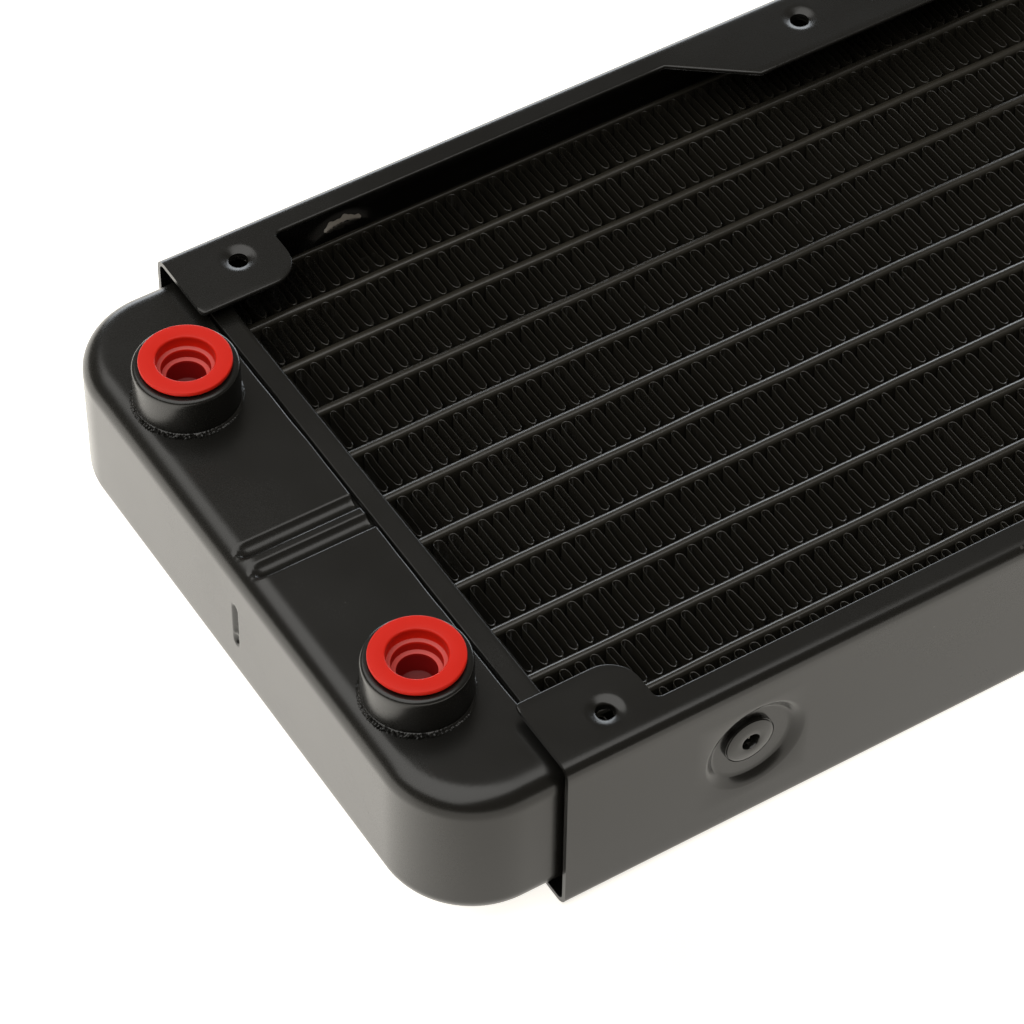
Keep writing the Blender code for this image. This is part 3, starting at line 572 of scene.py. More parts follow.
for end, direction in (("port", 1), ("return", -1)):
    low, high = node_box(f"{end}_header_plate")
    x_lines = spaced(low[0], 0.45, high[0])
    y_lines = spaced(low[1], 0.6, low[1] + 5, 1.5, high[1] - 5, 0.6, high[1])
    z_lines = spaced(low[2], 0.5, low[2] + 4.5, 1.5, high[2] - 4.5, 0.5, high[2])
    open_end = 0 if direction > 0 else -1
    points, faces = open_shell((x_lines, y_lines, z_lines), 0, open_end, 0, PAN_CORNER,
                               PAN_EDGE, PAN_SHEET, header_shape)
    pan = add_piece(f"{end}_header_pan", points, faces, "black_paint",
                    [f"{end}_header_plate"])
    soften_edges(pan, LIP_ROUND)
    mouth = low[0] if direction > 0 else high[0]
    tongue_x = sorted((mouth + direction * TONGUE_OVERLAP, mouth - direction * TONGUE_REACH))
    x_lines = spaced(tongue_x[0], 0.9, tongue_x[1])
    y_lines = spaced(low[1] + TONGUE_INSET, 1.2, high[1] - TONGUE_INSET)
    z_lines = spaced(low[2] + TONGUE_INSET, 1.0, high[2] - TONGUE_INSET)
    points, faces = open_shell((x_lines, y_lines, z_lines), 0, open_end, 0,
                               PAN_CORNER - TONGUE_INSET, TONGUE_EDGE, TONGUE_SHEET)
    add_piece(f"{end}_header_tongue", points, faces, "black_paint")
    print(end, "header pan spans x", round(low[0], 1), "to", round(high[0], 1))

# %% [markdown]
# ## The flat tubes
# Ten flat tubes carry the coolant. The round noses are rolled, so they wander a little, and each
# tube flares where it is brazed into the header.

# %% Flat tubes
NOSE_STEPS = 17
TUBE_SLIM = 0.82
SEAM_RIDGE = 0.09
SEAM_ANGLE = 0.75
SEAM_WIDTH = 0.12
FLARE = 0.45
FLARE_LENGTH = 0.9
WANDER = 0.07
LUMPS = 0.03


def stadium_loop(half_width, half_height, steps):
    """Round-nosed flat section in the YZ plane, starting at the top nose."""
    straight = half_height - half_width
    top = []
    for a in np.linspace(0, math.pi, steps):
        ridge = SEAM_RIDGE * math.exp(-((a - SEAM_ANGLE) / SEAM_WIDTH) ** 2) - SEAM_RIDGE / 2
        radius = half_width + min(ridge, 0.05)
        top.append((radius * math.cos(a), straight + radius * math.sin(a)))
    bottom = [(-y, -z) for y, z in top]
    return np.array(top + bottom)


def build_tube(name, low, high):
    """One tube: its section swept along X, with small lumps and a braze flare at each end."""
    pan_end = 2 * core_x - pan_high[0]
    stations = spaced(low[0], 1.0, pan_high[0] - 0.1, 0.3, pan_high[0] + 0.9, 1.6,
                      pan_end - 0.9, 0.3, pan_end + 0.1, 1.0, high[0])
    half_z = (high[2] - low[2]) / 2
    loop = stadium_loop(tube_half, half_z, NOSE_STEPS)
    seed = low[1] * 0.37
    wander = WANDER * ripple(stations, stations * 0.31, 9.0, seed)
    lumps = LUMPS * ripple(stations, stations * 0.7, 2.3, seed + 1)
    to_header = np.minimum(stations - pan_high[0], pan_end - stations)
    flare = FLARE * smooth_step(1 - to_header / FLARE_LENGTH) * (to_header > -0.4)
    y = loop[None, :, 0] * (1 + lumps + flare)[:, None] + wander[:, None]
    z = loop[None, :, 1] * (1 - 0.004 + 0.25 * lumps / half_z)[:, None]
    x = stations[:, None] * np.ones((1, len(loop)))
    points = np.stack([x, y + (low[1] + high[1]) / 2, z + mid_z], axis=-1).reshape(-1, 3)
    faces = list(grid_faces(len(stations), len(loop), False, True))
    faces.append(range(len(loop)))
    faces.append(range(len(points) - len(loop), len(points)))
    return add_piece(name.replace("flat_", "core_"), points, faces, "black_core_paint", [name])


# %% Sweep the tubes
tube_low, tube_high = node_box(tube_nodes[0])
tube_half = TUBE_SLIM * (tube_high[1] - tube_low[1]) / 2
for name in tube_nodes:
    build_tube(name, *node_box(name))
print("tubes:", len(tube_nodes), "each", round(2 * tube_half, 2), "mm thick")

# %% [markdown]
# ## The fins
# Each gap between tubes holds one strip of thin foil folded into hairpins 2.6 mm apart. On a real
# core no two folds are alike: legs lean and bow, tips are rounder or sharper. So the folds come from
# a seeded random table of small changes, and a bead of solder thickens each tip where it touches.

# %% Folded foil fins
FOLD = 1.32
FOIL = 0.078
SOLDER = 0.17
TIP_STEPS = 9
NEAR_GAP = 0.22
CREST = 0.03
FOOT_SPREAD = 0.07
HEAD_SPREAD = 0.1
SHORT_CHANCE = 0.03
SHORT_BY = 0.5
TUBE_CLEARANCES = (0.08, 0.03)
fin_nodes = sorted(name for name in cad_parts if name.startswith("fin_strip"))
mandrels = [node_box(name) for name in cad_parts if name.startswith("rivet_mandrel")]


def fold_line(start_x, end_x, low_y, high_y):
    """Centre line of one strip of folded foil, and how much solder thickens each point."""
    legs = int((end_x - start_x) / FOLD)
    foot = start_x + (np.arange(legs) + 0.5) * FOLD + rng.normal(0, FOOT_SPREAD, legs)
    head = foot + rng.normal(0, HEAD_SPREAD, legs)
    bow = rng.normal(0, FOOT_SPREAD, legs)
    line = []
    for leg in range(legs - 1):
        upward = leg % 2 == 0
        ends = head if upward else foot
        sign = 1 if upward else -1
        edge_y = high_y if upward else low_y
        tip = abs(rng.normal(0, FOOT_SPREAD)) + (SHORT_BY if rng.random() < SHORT_CHANCE else 0.0)
        tip += 0.0 if upward else NEAR_GAP
        depth = rng.uniform(0.7, 1.0) if upward else rng.uniform(0.9, 1.3)
        half = max(0.28, (ends[leg + 1] - ends[leg]) / 2)
        centre_x = (ends[leg] + ends[leg + 1]) / 2
        for share in (0.33, 0.67):
            base, top = (foot, head) if upward else (head, foot)
            x = base[leg] + (top[leg] - base[leg]) * share + bow[leg]
            span = (high_y - low_y) * share
            line.append((x, low_y + span if upward else high_y - span, 0.0))
        for angle in np.linspace(math.pi, 0, TIP_STEPS):
            x = centre_x + half * math.cos(angle)
            y = edge_y - sign * (tip + depth * (1 - math.sin(angle)))
            line.append((x, y, math.sin(angle) ** 6))
    return np.array(line)


# %% Give the foil its thickness


def build_fin(name, low, high, low_y, high_y):
    """Foil of real thickness along the fold line, with a fine ridge along its cut edges."""
    line = fold_line(low[0] + 0.3, high[0] - 0.3, low_y, high_y)
    ahead = np.gradient(line[:, :2], axis=0)
    ahead /= np.linalg.norm(ahead, axis=1, keepdims=True)
    side = np.stack([-ahead[:, 1], ahead[:, 0]], axis=1)
    half = (FOIL + (SOLDER - FOIL) * line[:, 2]) / 2
    lift = 0.06 * ripple(line[:, 0], line[:, 1], 5.0, low_y)
    section = [(-1, high[2] - CREST), (0, high[2]), (1, high[2] - CREST),
               (1, low[2] + CREST), (0, low[2]), (-1, low[2] + CREST)]
    rows = []
    for across, z in section:
        flat = line[:, :2] + side * (half * across)[:, None]
        level = z + (lift - 0.08 if z > mid_z else -lift + 0.08)
        rows.append(np.column_stack([flat, np.broadcast_to(level, len(line))]))
    points = np.stack(rows, axis=1).reshape(-1, 3)
    count = len(section)
    faces = list(grid_faces(len(line), count, False, True))
    faces.append(range(count))
    faces.append(range(len(points) - count, len(points)))
    return add_piece(name.replace("fin_strip", "fins"), points, faces, "black_core_paint",
                     [name], sharp=34)


# %% Fill each gap between tubes
fin_faces = 0
tube_ys = [float(sum(corner[1] for corner in node_box(name)) / 2) for name in tube_nodes]
bar_inner = node_box("core_side_plate_left")[0][1]
walls = [-bar_inner] + [y + s * tube_half for y in tube_ys for s in (-1, 1)] + [bar_inner]
for number, name in enumerate(fin_nodes):
    low, high = node_box(name)
    piece = build_fin(name, low, high, walls[2 * number] + TUBE_CLEARANCES[0],
                      walls[2 * number + 1] - TUBE_CLEARANCES[1])
    fin_faces += len(piece.data.polygons)
print("fins:", len(fin_nodes), "strips,", fin_faces, "faces")

# %% [markdown]
# ## The core's side plates
# A plain bar closes the core on each side; its edges are sheared and painted over.

# %% Core side plates
BAR_CORNER = 0.45
BAR_EDGE = 0.25
BAR_WAVE = 0.05
for side in ("right", "left"):
    name = f"core_side_plate_{side}"
    low, high = node_box(name)
    lines = (spaced(low[0], 3.0, high[0]), spaced(low[1], 0.25, high[1]),
             spaced(low[2], 0.25, low[2] + 0.75, 1.5, high[2] - 0.75, 0.25, high[2]))
    box_points, quads = box_skin(lines)
    points = rounded(box_points, low, high, 0, BAR_CORNER, BAR_EDGE)
    points[:, 1] += BAR_WAVE * ripple(points[:, 0], points[:, 2], 14.0, 0.5)
    add_piece(f"core_bar_{side}", points, quads, "black_core_paint", [name])
    print(side, "side plate:", round(high[1] - low[1], 2), "mm thick")

# %% [markdown]
# ## The folded side panels
# Each panel is one sheet, cut to an outline, pressed and folded into a C. The sheet here is a list
# of cross-sections along its length. A section's ends follow the cut outline, with the edge already
# rounded as paint rounds it. Round features are polar patches let into the sheet: the screw holes,
# extruded and tapped, and the shallow dishes that carry the rivets.

# %% Outline of the tabs: how far the top reaches in from the web's face, along the length
PANEL_SHEET = 0.8
BEND = 2.1
TAB_REACH = 14.55
FLANGE_REACH = 5.07
EDGE_ROUND = 0.36
TAB_CORNER = 5.0
NOTCH_CORNER = 1.2
END_CORNER = 0.8
MIDDLE_TOP = 20.15
MIDDLE_FOOT = 32.5
HOLE_Y = 52.5
HOLE_XS = (-112.5, -7.5, 7.5, 112.5)
TAB_BEYOND_HOLE = 7.3
PATCH = 3.3
DISH_PATCH = 10.0
panel_half = (panel_high[0] - panel_low[0]) / 2
panel_face = max(abs(panel_low[1]), abs(panel_high[1]))


def tab_edge(x, tab_x):
    """Reach of an end tab at x, where its corner is round."""
    past = min(max(tab_x + TAB_CORNER - x, 0), TAB_CORNER)
    reach = TAB_REACH - TAB_CORNER + math.sqrt(TAB_CORNER ** 2 - past ** 2)
    past = min(max(x - panel_half + END_CORNER, 0), END_CORNER)
    return reach - END_CORNER + math.sqrt(END_CORNER ** 2 - past ** 2)


def outline_right():
    """Outline points (x, reach) from the panel's middle to its end, in core x."""
    tab_x = HOLE_XS[3] - TAB_BEYOND_HOLE
    near, far = HOLE_XS[2] - PATCH, HOLE_XS[2] + PATCH
    points = [(x, TAB_REACH) for x in spaced(0, 2.5, near, PATCH / 4, far, 3.0, MIDDLE_TOP)]
    slope = (TAB_REACH - FLANGE_REACH) / (MIDDLE_FOOT - MIDDLE_TOP)
    ramp = spaced(MIDDLE_TOP, 2.0, MIDDLE_FOOT)[1:]
    points += [(x, TAB_REACH - slope * (x - MIDDLE_TOP)) for x in ramp]
    plain = spaced(MIDDLE_FOOT, 3.0, RIVET_X - DISH_PATCH, 1.25, RIVET_X + DISH_PATCH, 1.0,
                   tab_x - NOTCH_CORNER)[1:]
    points += [(x, FLANGE_REACH) for x in plain[:-1]]
    points += round_corner((tab_x - NOTCH_CORNER, FLANGE_REACH + NOTCH_CORNER), NOTCH_CORNER,
                           -90, 0, 6)
    near, far = HOLE_XS[3] - PATCH, HOLE_XS[3] + PATCH
    corner = round_corner((tab_x + TAB_CORNER, TAB_REACH - TAB_CORNER), TAB_CORNER, 180, 90, 15)
    points += [(x, reach) for x, reach in corner if x < near - 0.1]
    end = spaced(near, PATCH / 4, far, 1.8, panel_half - END_CORNER, END_CORNER / 6, panel_half)
    points += [(x, tab_edge(x, tab_x)) for x in end]
    return points


RIVET_X = abs(float(np.mean([mandrels[0][0][0], mandrels[0][1][0]])) - core_x)
right_half = outline_right()
outline = np.array([(-x, r) for x, r in right_half[:0:-1]] + right_half)
print("panel sections:", len(outline))

# %% Cross-sections of the sheet
RIM_TURNS = (60, 30, 0)
BEND_STEPS = 9
hole_y = panel_face - HOLE_Y
patch_edge = hole_y + PATCH
patch_rows = np.linspace(PATCH, -PATCH, 9)
top_reaches = np.concatenate([[TAB_REACH, 13.0, 11.5], hole_y + patch_rows, [BEND + 0.6, BEND]])
web_rows = spaced(BEND, 1.2, mid_z - DISH_PATCH, 1.25, mid_z + DISH_PATCH, 1.2, 2 * mid_z - BEND)


def panel_section(x, reach):
    """Loop of one cross-section as (x, y inward from the face, z above the middle)."""
    reaches = top_reaches.copy()
    if reach > patch_edge + 0.5:
        share = (reach - patch_edge) / (TAB_REACH - patch_edge)
        reaches[:3] = patch_edge + (top_reaches[:3] - patch_edge) * share
    else:
        share = (reach - EDGE_ROUND - BEND) / (TAB_REACH - EDGE_ROUND - BEND)
        reaches = BEND + (top_reaches - BEND) * share
    reaches[0] = reach - EDGE_ROUND
    skins = []
    for depth in (0.0, PANEL_SHEET):
        bend = BEND - depth
        top = [(r, mid_z - depth) for r in reaches]
        top += round_corner((BEND, mid_z - BEND), bend, 90, 180, BEND_STEPS)[1:-1]
        web = [(depth, mid_z - row) for row in web_rows]
        skins.append(top + web + [(y, -z) for y, z in top[::-1]])
    turns = np.radians(RIM_TURNS)
    rim = [(reach - EDGE_ROUND + EDGE_ROUND * math.cos(a),
            mid_z - EDGE_ROUND + EDGE_ROUND * math.sin(a)) for a in turns]
    rim += [(reach - EDGE_ROUND + EDGE_ROUND * math.cos(a),
             mid_z - PANEL_SHEET + EDGE_ROUND - EDGE_ROUND * math.sin(a)) for a in turns[::-1]]
    loop = skins[0] + [(y, -z) for y, z in rim] + skins[1][::-1] + rim[::-1]
    return [(x, y, z) for y, z in loop]


section_loops = np.array([panel_section(x, reach) for x, reach in outline])
rows_count, loop_count = section_loops.shape[:2]
skin_count = 2 * (len(top_reaches) + BEND_STEPS - 2) + len(web_rows)
rim_count = 2 * len(RIM_TURNS)
print("points in a section:", loop_count, "of them on the outer skin:", skin_count)


# %% [markdown]
# ## Pressed features of the panels
# A square of the sheet is cut out round each feature. Rings of points then run from the square's
# edge to a circle, down the feature's profile, and back out to the square on the sheet's far side.

# %% Cut a square out, and fill it with rings
SHIFT_WITHIN = 7.0
SHIFT_FADE = 3.5


def drop_patch(faces, points, centre, half, flat_axis):
    """Split off the faces whose middle lies within a square on one side of the sheet."""
    middle = points[faces].mean(axis=1)
    u, v = [a for a in range(3) if a != flat_axis]
    inside = (np.abs(middle[:, u] - centre[u]) < half) & (np.abs(middle[:, v] - centre[v]) < half)
    inside &= np.abs(middle[:, flat_axis] - centre[flat_axis]) < PANEL_SHEET + 0.1
    return faces[~inside]


def square_ring(half, per_side):
    """Points of a square, anticlockwise from the middle of its right side's foot."""
    steps = np.linspace(-half, half, per_side + 1)[:-1]
    ring = [(half, t) for t in steps] + [(-t, half) for t in steps]
    ring += [(-half, -t) for t in steps] + [(t, -half) for t in steps]
    return np.array(ring)


def polar_patch(half, per_side, profile, pitch=0.0, ridge=0.0, shift=(0.0, 0.0)):
    """Rings from a square down a (radius, depth) profile and back out to the square below.

    The innermost rings may sit off the middle, by `shift`."""
    square = square_ring(half, per_side)
    angle = np.arctan2(square[:, 1], square[:, 0])
    rings = [np.column_stack([square, np.zeros(len(square))])]
    for radius, depth, thread in profile:
        r = radius
        if thread:
            turn = (depth / pitch - angle / (2 * math.pi)) % 1.0
            r = radius - ridge * np.abs(2 * turn - 1)
        off = float(np.clip((SHIFT_WITHIN - radius) / SHIFT_FADE, 0, 1))
        rings.append(np.column_stack([r * np.cos(angle) + off * shift[0],
                                      r * np.sin(angle) + off * shift[1],
                                      np.full(len(angle), depth)]))
    rings.append(np.column_stack([square, np.full(len(square), PANEL_SHEET)]))
    return np.concatenate(rings), grid_faces(len(rings), len(square), False, True)


# %% Profiles of the two pressed features
BORE = 1.6
DIMPLE = 3.2
DIMPLE_DROP = 0.36
NECK_OUT = 2.6
NECK_END = 2.0
THREAD_PITCH = 0.7
THREAD_RIDGE = 0.16
dimple = [(DIMPLE - (DIMPLE - BORE - 0.15) * t, DIMPLE_DROP * (t ** 2 * (1.6 - 0.6 * t)), False)
          for t in np.linspace(0, 1, 8)]
bore = [(BORE, d, True) for d in np.arange(DIMPLE_DROP + 0.15, NECK_END - 0.1, 0.14)]
neck = [(BORE + 0.1, NECK_END, False), (NECK_OUT - 0.15, NECK_END, False),
        (NECK_OUT, NECK_END - 0.2, False), (NECK_OUT, PANEL_SHEET + 0.3, False),
        (NECK_OUT + 0.3, PANEL_SHEET + 0.02, False), (DIMPLE + 0.05, PANEL_SHEET, False)]
screw_profile = dimple + bore + neck

DISH_OUT = 8.8
DISH_FLOOR = 6.95
DISH_DEPTH = 1.15
DISH_RINGS = (6.4, 5.0, 3.6, 2.8)
slope = [(DISH_OUT - (DISH_OUT - DISH_FLOOR) * t, DISH_DEPTH * float(t ** 1.5), False)
         for t in np.linspace(0, 1, 11)]
floor = [(r, DISH_DEPTH, False) for r in DISH_RINGS]
under = [(r, DISH_DEPTH + PANEL_SHEET, False) for r in DISH_RINGS[::-1]]
back = [(r + 0.3, d + PANEL_SHEET, False) for r, d, _ in slope[::-1]]
dish_profile = slope + floor + under + back[:-1]

# %% [markdown]
# ## The finished sheet
# The sections are skinned, the two ends are capped, and the features are let in. Both panels are
# placed from this one sheet.

# %% Skin the sheet and close its two ends
points = section_loops.reshape(-1, 3)
faces = grid_faces(rows_count, loop_count, False, True)
inner_end = 2 * skin_count + rim_count - 1
rims = []
for end in (0, rows_count - 1):
    base = end * loop_count
    cap = [(j, j + 1, inner_end - 1 - j, inner_end - j) for j in range(skin_count - 1)]
    faces = np.concatenate([faces, np.array(cap) + base])
    rims.append(range(base + skin_count - 1, base + skin_count + rim_count + 1))
    rims.append([*range(base + inner_end, base + loop_count), base])

# %% Let in the screw holes and the dishes, which were pressed a little off centre
patches = []
for level in (1, -1):
    for x in HOLE_XS:
        for depth in (0.0, PANEL_SHEET):
            centre = np.array([x, hole_y, level * (mid_z - depth)])
            faces = drop_patch(faces, points, centre, PATCH, 2)
        local, patch_faces = polar_patch(PATCH, 8, screw_profile, THREAD_PITCH,
                                         THREAD_RIDGE)
        placed = np.column_stack([local[:, 0] + x, local[:, 1] + hole_y,
                                  level * (mid_z - local[:, 2])])
        patches.append((placed, patch_faces))
DISH_SHIFTS = {-1: (0.5, -0.53), 1: (-0.2, -0.3)}
RIVET_SHIFTS = {-1: (-0.28, 0.7), 1: (0.2, 0.2)}
rivet_z = (mandrels[0][0][2] + mandrels[0][1][2]) / 2 - mid_z
for end in (-1, 1):
    dish_x = end * RIVET_X + DISH_SHIFTS[end][0]
    dish_z = rivet_z + DISH_SHIFTS[end][1]
    shift = [RIVET_SHIFTS[end][i] - DISH_SHIFTS[end][i] for i in (0, 1)]
    centre = np.array([end * RIVET_X, PANEL_SHEET / 2, 0.0])
    faces = drop_patch(faces, points, centre, DISH_PATCH, 1)
    local, patch_faces = polar_patch(DISH_PATCH, 16, dish_profile, shift=shift)
    ring = np.hypot(local[:, 0], local[:, 1])
    inside = ring < DISH_PATCH - 0.5
    placed = np.column_stack([local[:, 0] + np.where(inside, dish_x, end * RIVET_X), local[:, 2],
                              local[:, 1] + np.where(inside, dish_z, 0.0)])
    patches.append((placed, patch_faces))

# %% Join the sheet and its patches
all_faces = [tuple(face) for face in faces] + [tuple(rim) for rim in rims]
for placed, patch_faces in patches:
    all_faces += [tuple(face + len(points)) for face in patch_faces]
    points = np.concatenate([points, placed])

# %% Place the two panels: the left is the right one turned end for end
for side, turn in (("right", 1), ("left", -1)):
    placed = np.column_stack([core_x + turn * points[:, 0],
                              -turn * (panel_face - points[:, 1]), points[:, 2] + mid_z])
    panel = add_piece(f"folded_panel_{side}", placed, all_faces, "black_paint",
                      [f"side_panel_{side}"], sharp=50, weld=True)
print("panel faces:", len(panel.data.polygons))

# %% [markdown]
# ## A rubbed patch
# Where the left panel's dish bears on the core, near the ports, the paint is rubbed to bare metal.

# %% Rubbed patch: a thin crescent that follows the back of the dish
RUB_HALF_ANGLE = 27
RUB_ROWS = 41
RUB_COLUMNS = 6
RUB_RADIUS = 7.5
RUB_INWARD = 1.3
RUB_OUTWARD = 0.5
RUB_LIFT = 0.03
rub = []
for along in np.linspace(-1, 1, RUB_ROWS):
    angle = math.radians(RUB_HALF_ANGLE * along)
    fade = math.sqrt(max(1 - along ** 2, 0.002))
    ragged = 0.16 * math.sin(17 * angle) + 0.07 * math.sin(37 * angle + 1)
    inner_r = RUB_RADIUS - (RUB_INWARD + ragged) * fade
    outer_r = RUB_RADIUS + (RUB_OUTWARD - ragged) * fade
    skin = []
    for ring in np.linspace(inner_r, outer_r, RUB_COLUMNS):
        t = min(max((DISH_OUT + 0.3 - ring) / (DISH_OUT - DISH_FLOOR), 0), 1)
        skin.append((ring, DISH_DEPTH * t ** 1.5 + PANEL_SHEET))
    loop = [(ring, depth + RUB_LIFT) for ring, depth in skin]
    loop += [(ring, depth - RUB_LIFT) for ring, depth in skin[::-1]]
    rub += [(ring * math.sin(angle), depth, ring * math.cos(angle)) for ring, depth in loop]
rub = np.array(rub)
rub_faces = list(grid_faces(RUB_ROWS, 2 * RUB_COLUMNS, False, True))
rub_faces += [range(2 * RUB_COLUMNS), range(len(rub) - 2 * RUB_COLUMNS, len(rub))]
placed = np.column_stack([core_x - RIVET_X - DISH_SHIFTS[1][0] - rub[:, 0],
                          panel_face - rub[:, 1], rub[:, 2] + mid_z + rivet_z + DISH_SHIFTS[1][1]])
add_piece("rubbed_patch", placed, rub_faces, "bare_aluminium")
print("rubbed patch:", round(np.ptp(placed[:, 0]), 1), "mm long")

# %% [markdown]
# ## Rivets
# A blind rivet pins each panel to the core. The head is a low dome; the mandrel snaps off inside
# the hole and leaves a rough bright stub.

# %% Rivets and mandrels
HEAD = 4.25
HOLE = 1.42
SHANK = 2.4
BULGE = 3.1


def stub_wobble(angle, radius, height):
    """A torn end: the break runs up and down round the stub."""
    torn = 0.22 * np.sin(3 * angle + 5 * radius) + 0.12 * np.sin(7 * angle + 2)
    return radius, height + np.where(height > -1.9, torn * smooth_step(radius / 0.4), 0)


def laid_down(points):
    """Turn a part that was made upright to point out of the side it sits on."""
    return np.column_stack([points[:, 0] + place[0], sign * (points[:, 2] + face_y),
                            points[:, 1] + place[1]])


# %% Set the four rivets
for side, sign in (("right", -1), ("left", 1)):
    for end in ("port", "return"):
        low, high = node_box(f"rivet_{side}_{end}")
        seat = (low + high) / 2
        shift = RIVET_SHIFTS[-1 if (end == "port") == (side == "right") else 1]
        place = (seat[0] - sign * shift[0], seat[2] + shift[1])
        face_y = max(abs(low[1]), abs(high[1]))
        tail = min(abs(low[1]), abs(high[1])) - face_y
        foot = panel_face - DISH_DEPTH - face_y
        profile = [(HOLE, -1.6), (HOLE, -0.3), (HOLE + 0.12, -0.06), (HOLE + 0.35, 0.0),
                   (2.6, -0.05), (3.4, -0.14), (3.85, -0.24), (3.98, -0.3), (4.02, -0.52),
                   (4.1, -0.52), (4.16, -0.36), (HEAD - 0.03, -0.42), (HEAD, foot + 0.02),
                   (SHANK, foot), (SHANK, tail + 1.5), (BULGE, tail + 1.2), (BULGE, tail + 0.3),
                   (2.7, tail), (HOLE, tail)]
        points, faces = turned(profile, 48)
        add_piece(f"rivet_{side}_{end}_body", laid_down(points), faces, "black_paint",
                  [f"rivet_{side}_{end}"])
        m_low, m_high = node_box(f"rivet_mandrel_{side}_{end}")
        m_tail = min(abs(m_low[1]), abs(m_high[1])) - face_y
        stub = [(0.001, -1.45), (0.35, -1.35), (0.6, -1.7), (0.95, -1.5), (1.15, -1.8),
                (1.3, -2.1), (1.3, m_tail + 0.9), (2.1, m_tail + 0.8), (2.1, m_tail + 0.15),
                (1.8, m_tail), (0.001, m_tail)]
        points, faces = turned(stub, 24, stub_wobble)
        add_piece(f"rivet_{side}_{end}_mandrel", laid_down(points), faces, "bare_aluminium",
                  [f"rivet_mandrel_{side}_{end}"], weld=True)
        print("rivet", side, end, "at x", round(place[0], 1), "z", round(place[1], 1))

# %% [markdown]
# ## Port collars
# Each collar is a turned brass bush, tapped with a G1/4 thread and soldered to the tank. The
# solder ring at its foot is uneven under the paint, with a crusty patch on one side.

# %% Collars with their thread, and the solder rings
THREAD = 1.337
THREAD_DEPTH = 0.55
BORE_RADIUS = 6.0
NECK_RADIUS = 7.0
COLLAR_ROUND = 0.6
CRUST_AT = 225
CRUST_SPREAD = 1.1


def collar_wobble(angle, radius, height):
    """Cut the thread as a true helix into the bore."""
    in_bore = (radius < BORE_RADIUS + 0.05) & (height < collar_top - 0.8)
    turn = (height / THREAD - angle / (2 * math.pi)) % 1.0
    return radius + np.where(in_bore, THREAD_DEPTH * (1 - np.abs(2 * turn - 1)), 0.0), height


def solder_wobble(angle, radius, height):
    """Uneven solder: slow waves all round, and crumbs on the crusty side."""
    crust = np.exp(-((angle - math.radians(CRUST_AT)) / CRUST_SPREAD) ** 2)
    slow = (np.sin(3 * angle + 1) + np.sin(7 * angle + 2) + np.sin(13 * angle)) / 3
    crumbs = (np.sin(83 * angle + 3 * np.sin(7 * angle) + 9 * height)
              * np.sin(149 * angle + 4 * np.sin(11 * angle) + 11 * radius))
    swell = 0.05 * slow + (0.1 + 0.2 * crust) * crumbs + 0.14 * crust
    near_foot = smooth_step((radius - solder_inner) / 0.4)
    return radius + near_foot * swell, height + near_foot * 0.5 * np.maximum(swell, -0.1)


# %% Turn the collars and lay the solder round them
for side in ("right", "left"):
    low, high = node_box(f"port_collar_{side}")
    centre = (low + high) / 2
    outer = (high[0] - low[0]) / 2
    collar_top = high[2]
    foot = tank_high[2]
    bore_heights = np.arange(low[2] + 0.02, collar_top - 0.7, 0.11)
    profile = [(BORE_RADIUS, z) for z in bore_heights]
    profile += [(BORE_RADIUS, collar_top - 0.6), (BORE_RADIUS + 0.55, collar_top - 0.05),
                (BORE_RADIUS + 0.7, collar_top)]
    profile += round_corner((outer - COLLAR_ROUND, collar_top - COLLAR_ROUND), COLLAR_ROUND,
                            90, 0, 6)
    profile += [(outer, z) for z in np.linspace(collar_top - 1.4, foot + 0.3, 5)]
    profile += [(NECK_RADIUS, foot + 0.3), (NECK_RADIUS, low[2])]
    points, faces = turned(profile, 96, collar_wobble)
    middle = [centre[0], centre[1], 0]
    add_piece(f"port_collar_{side}_bush", points + middle, faces, "black_paint",
              [f"port_collar_{side}"], sharp=50)
    solder_inner = outer - 0.15
    ring = [(solder_inner, foot - 0.25), (solder_inner, foot + 0.5), (outer + 0.04, foot + 0.4),
            (outer + 0.12, foot + 0.2), (outer + 0.28, foot + 0.08), (outer + 0.45, foot + 0.02),
            (outer + 0.5, foot - 0.25)]
    points, faces = turned(ring, 480, solder_wobble)
    add_piece(f"port_solder_{side}", points + middle, faces, "black_paint", sharp=70)
    print(side, "collar stands", round(collar_top - foot, 2), "mm above the tank")

# %% [markdown]
# ## The red plugs
# Moulded in soft plastic: a thin flange over a hollow stem, stepped inside so that a finger or a
# tool can pull it. They ride on their own bodies, so they lift out.

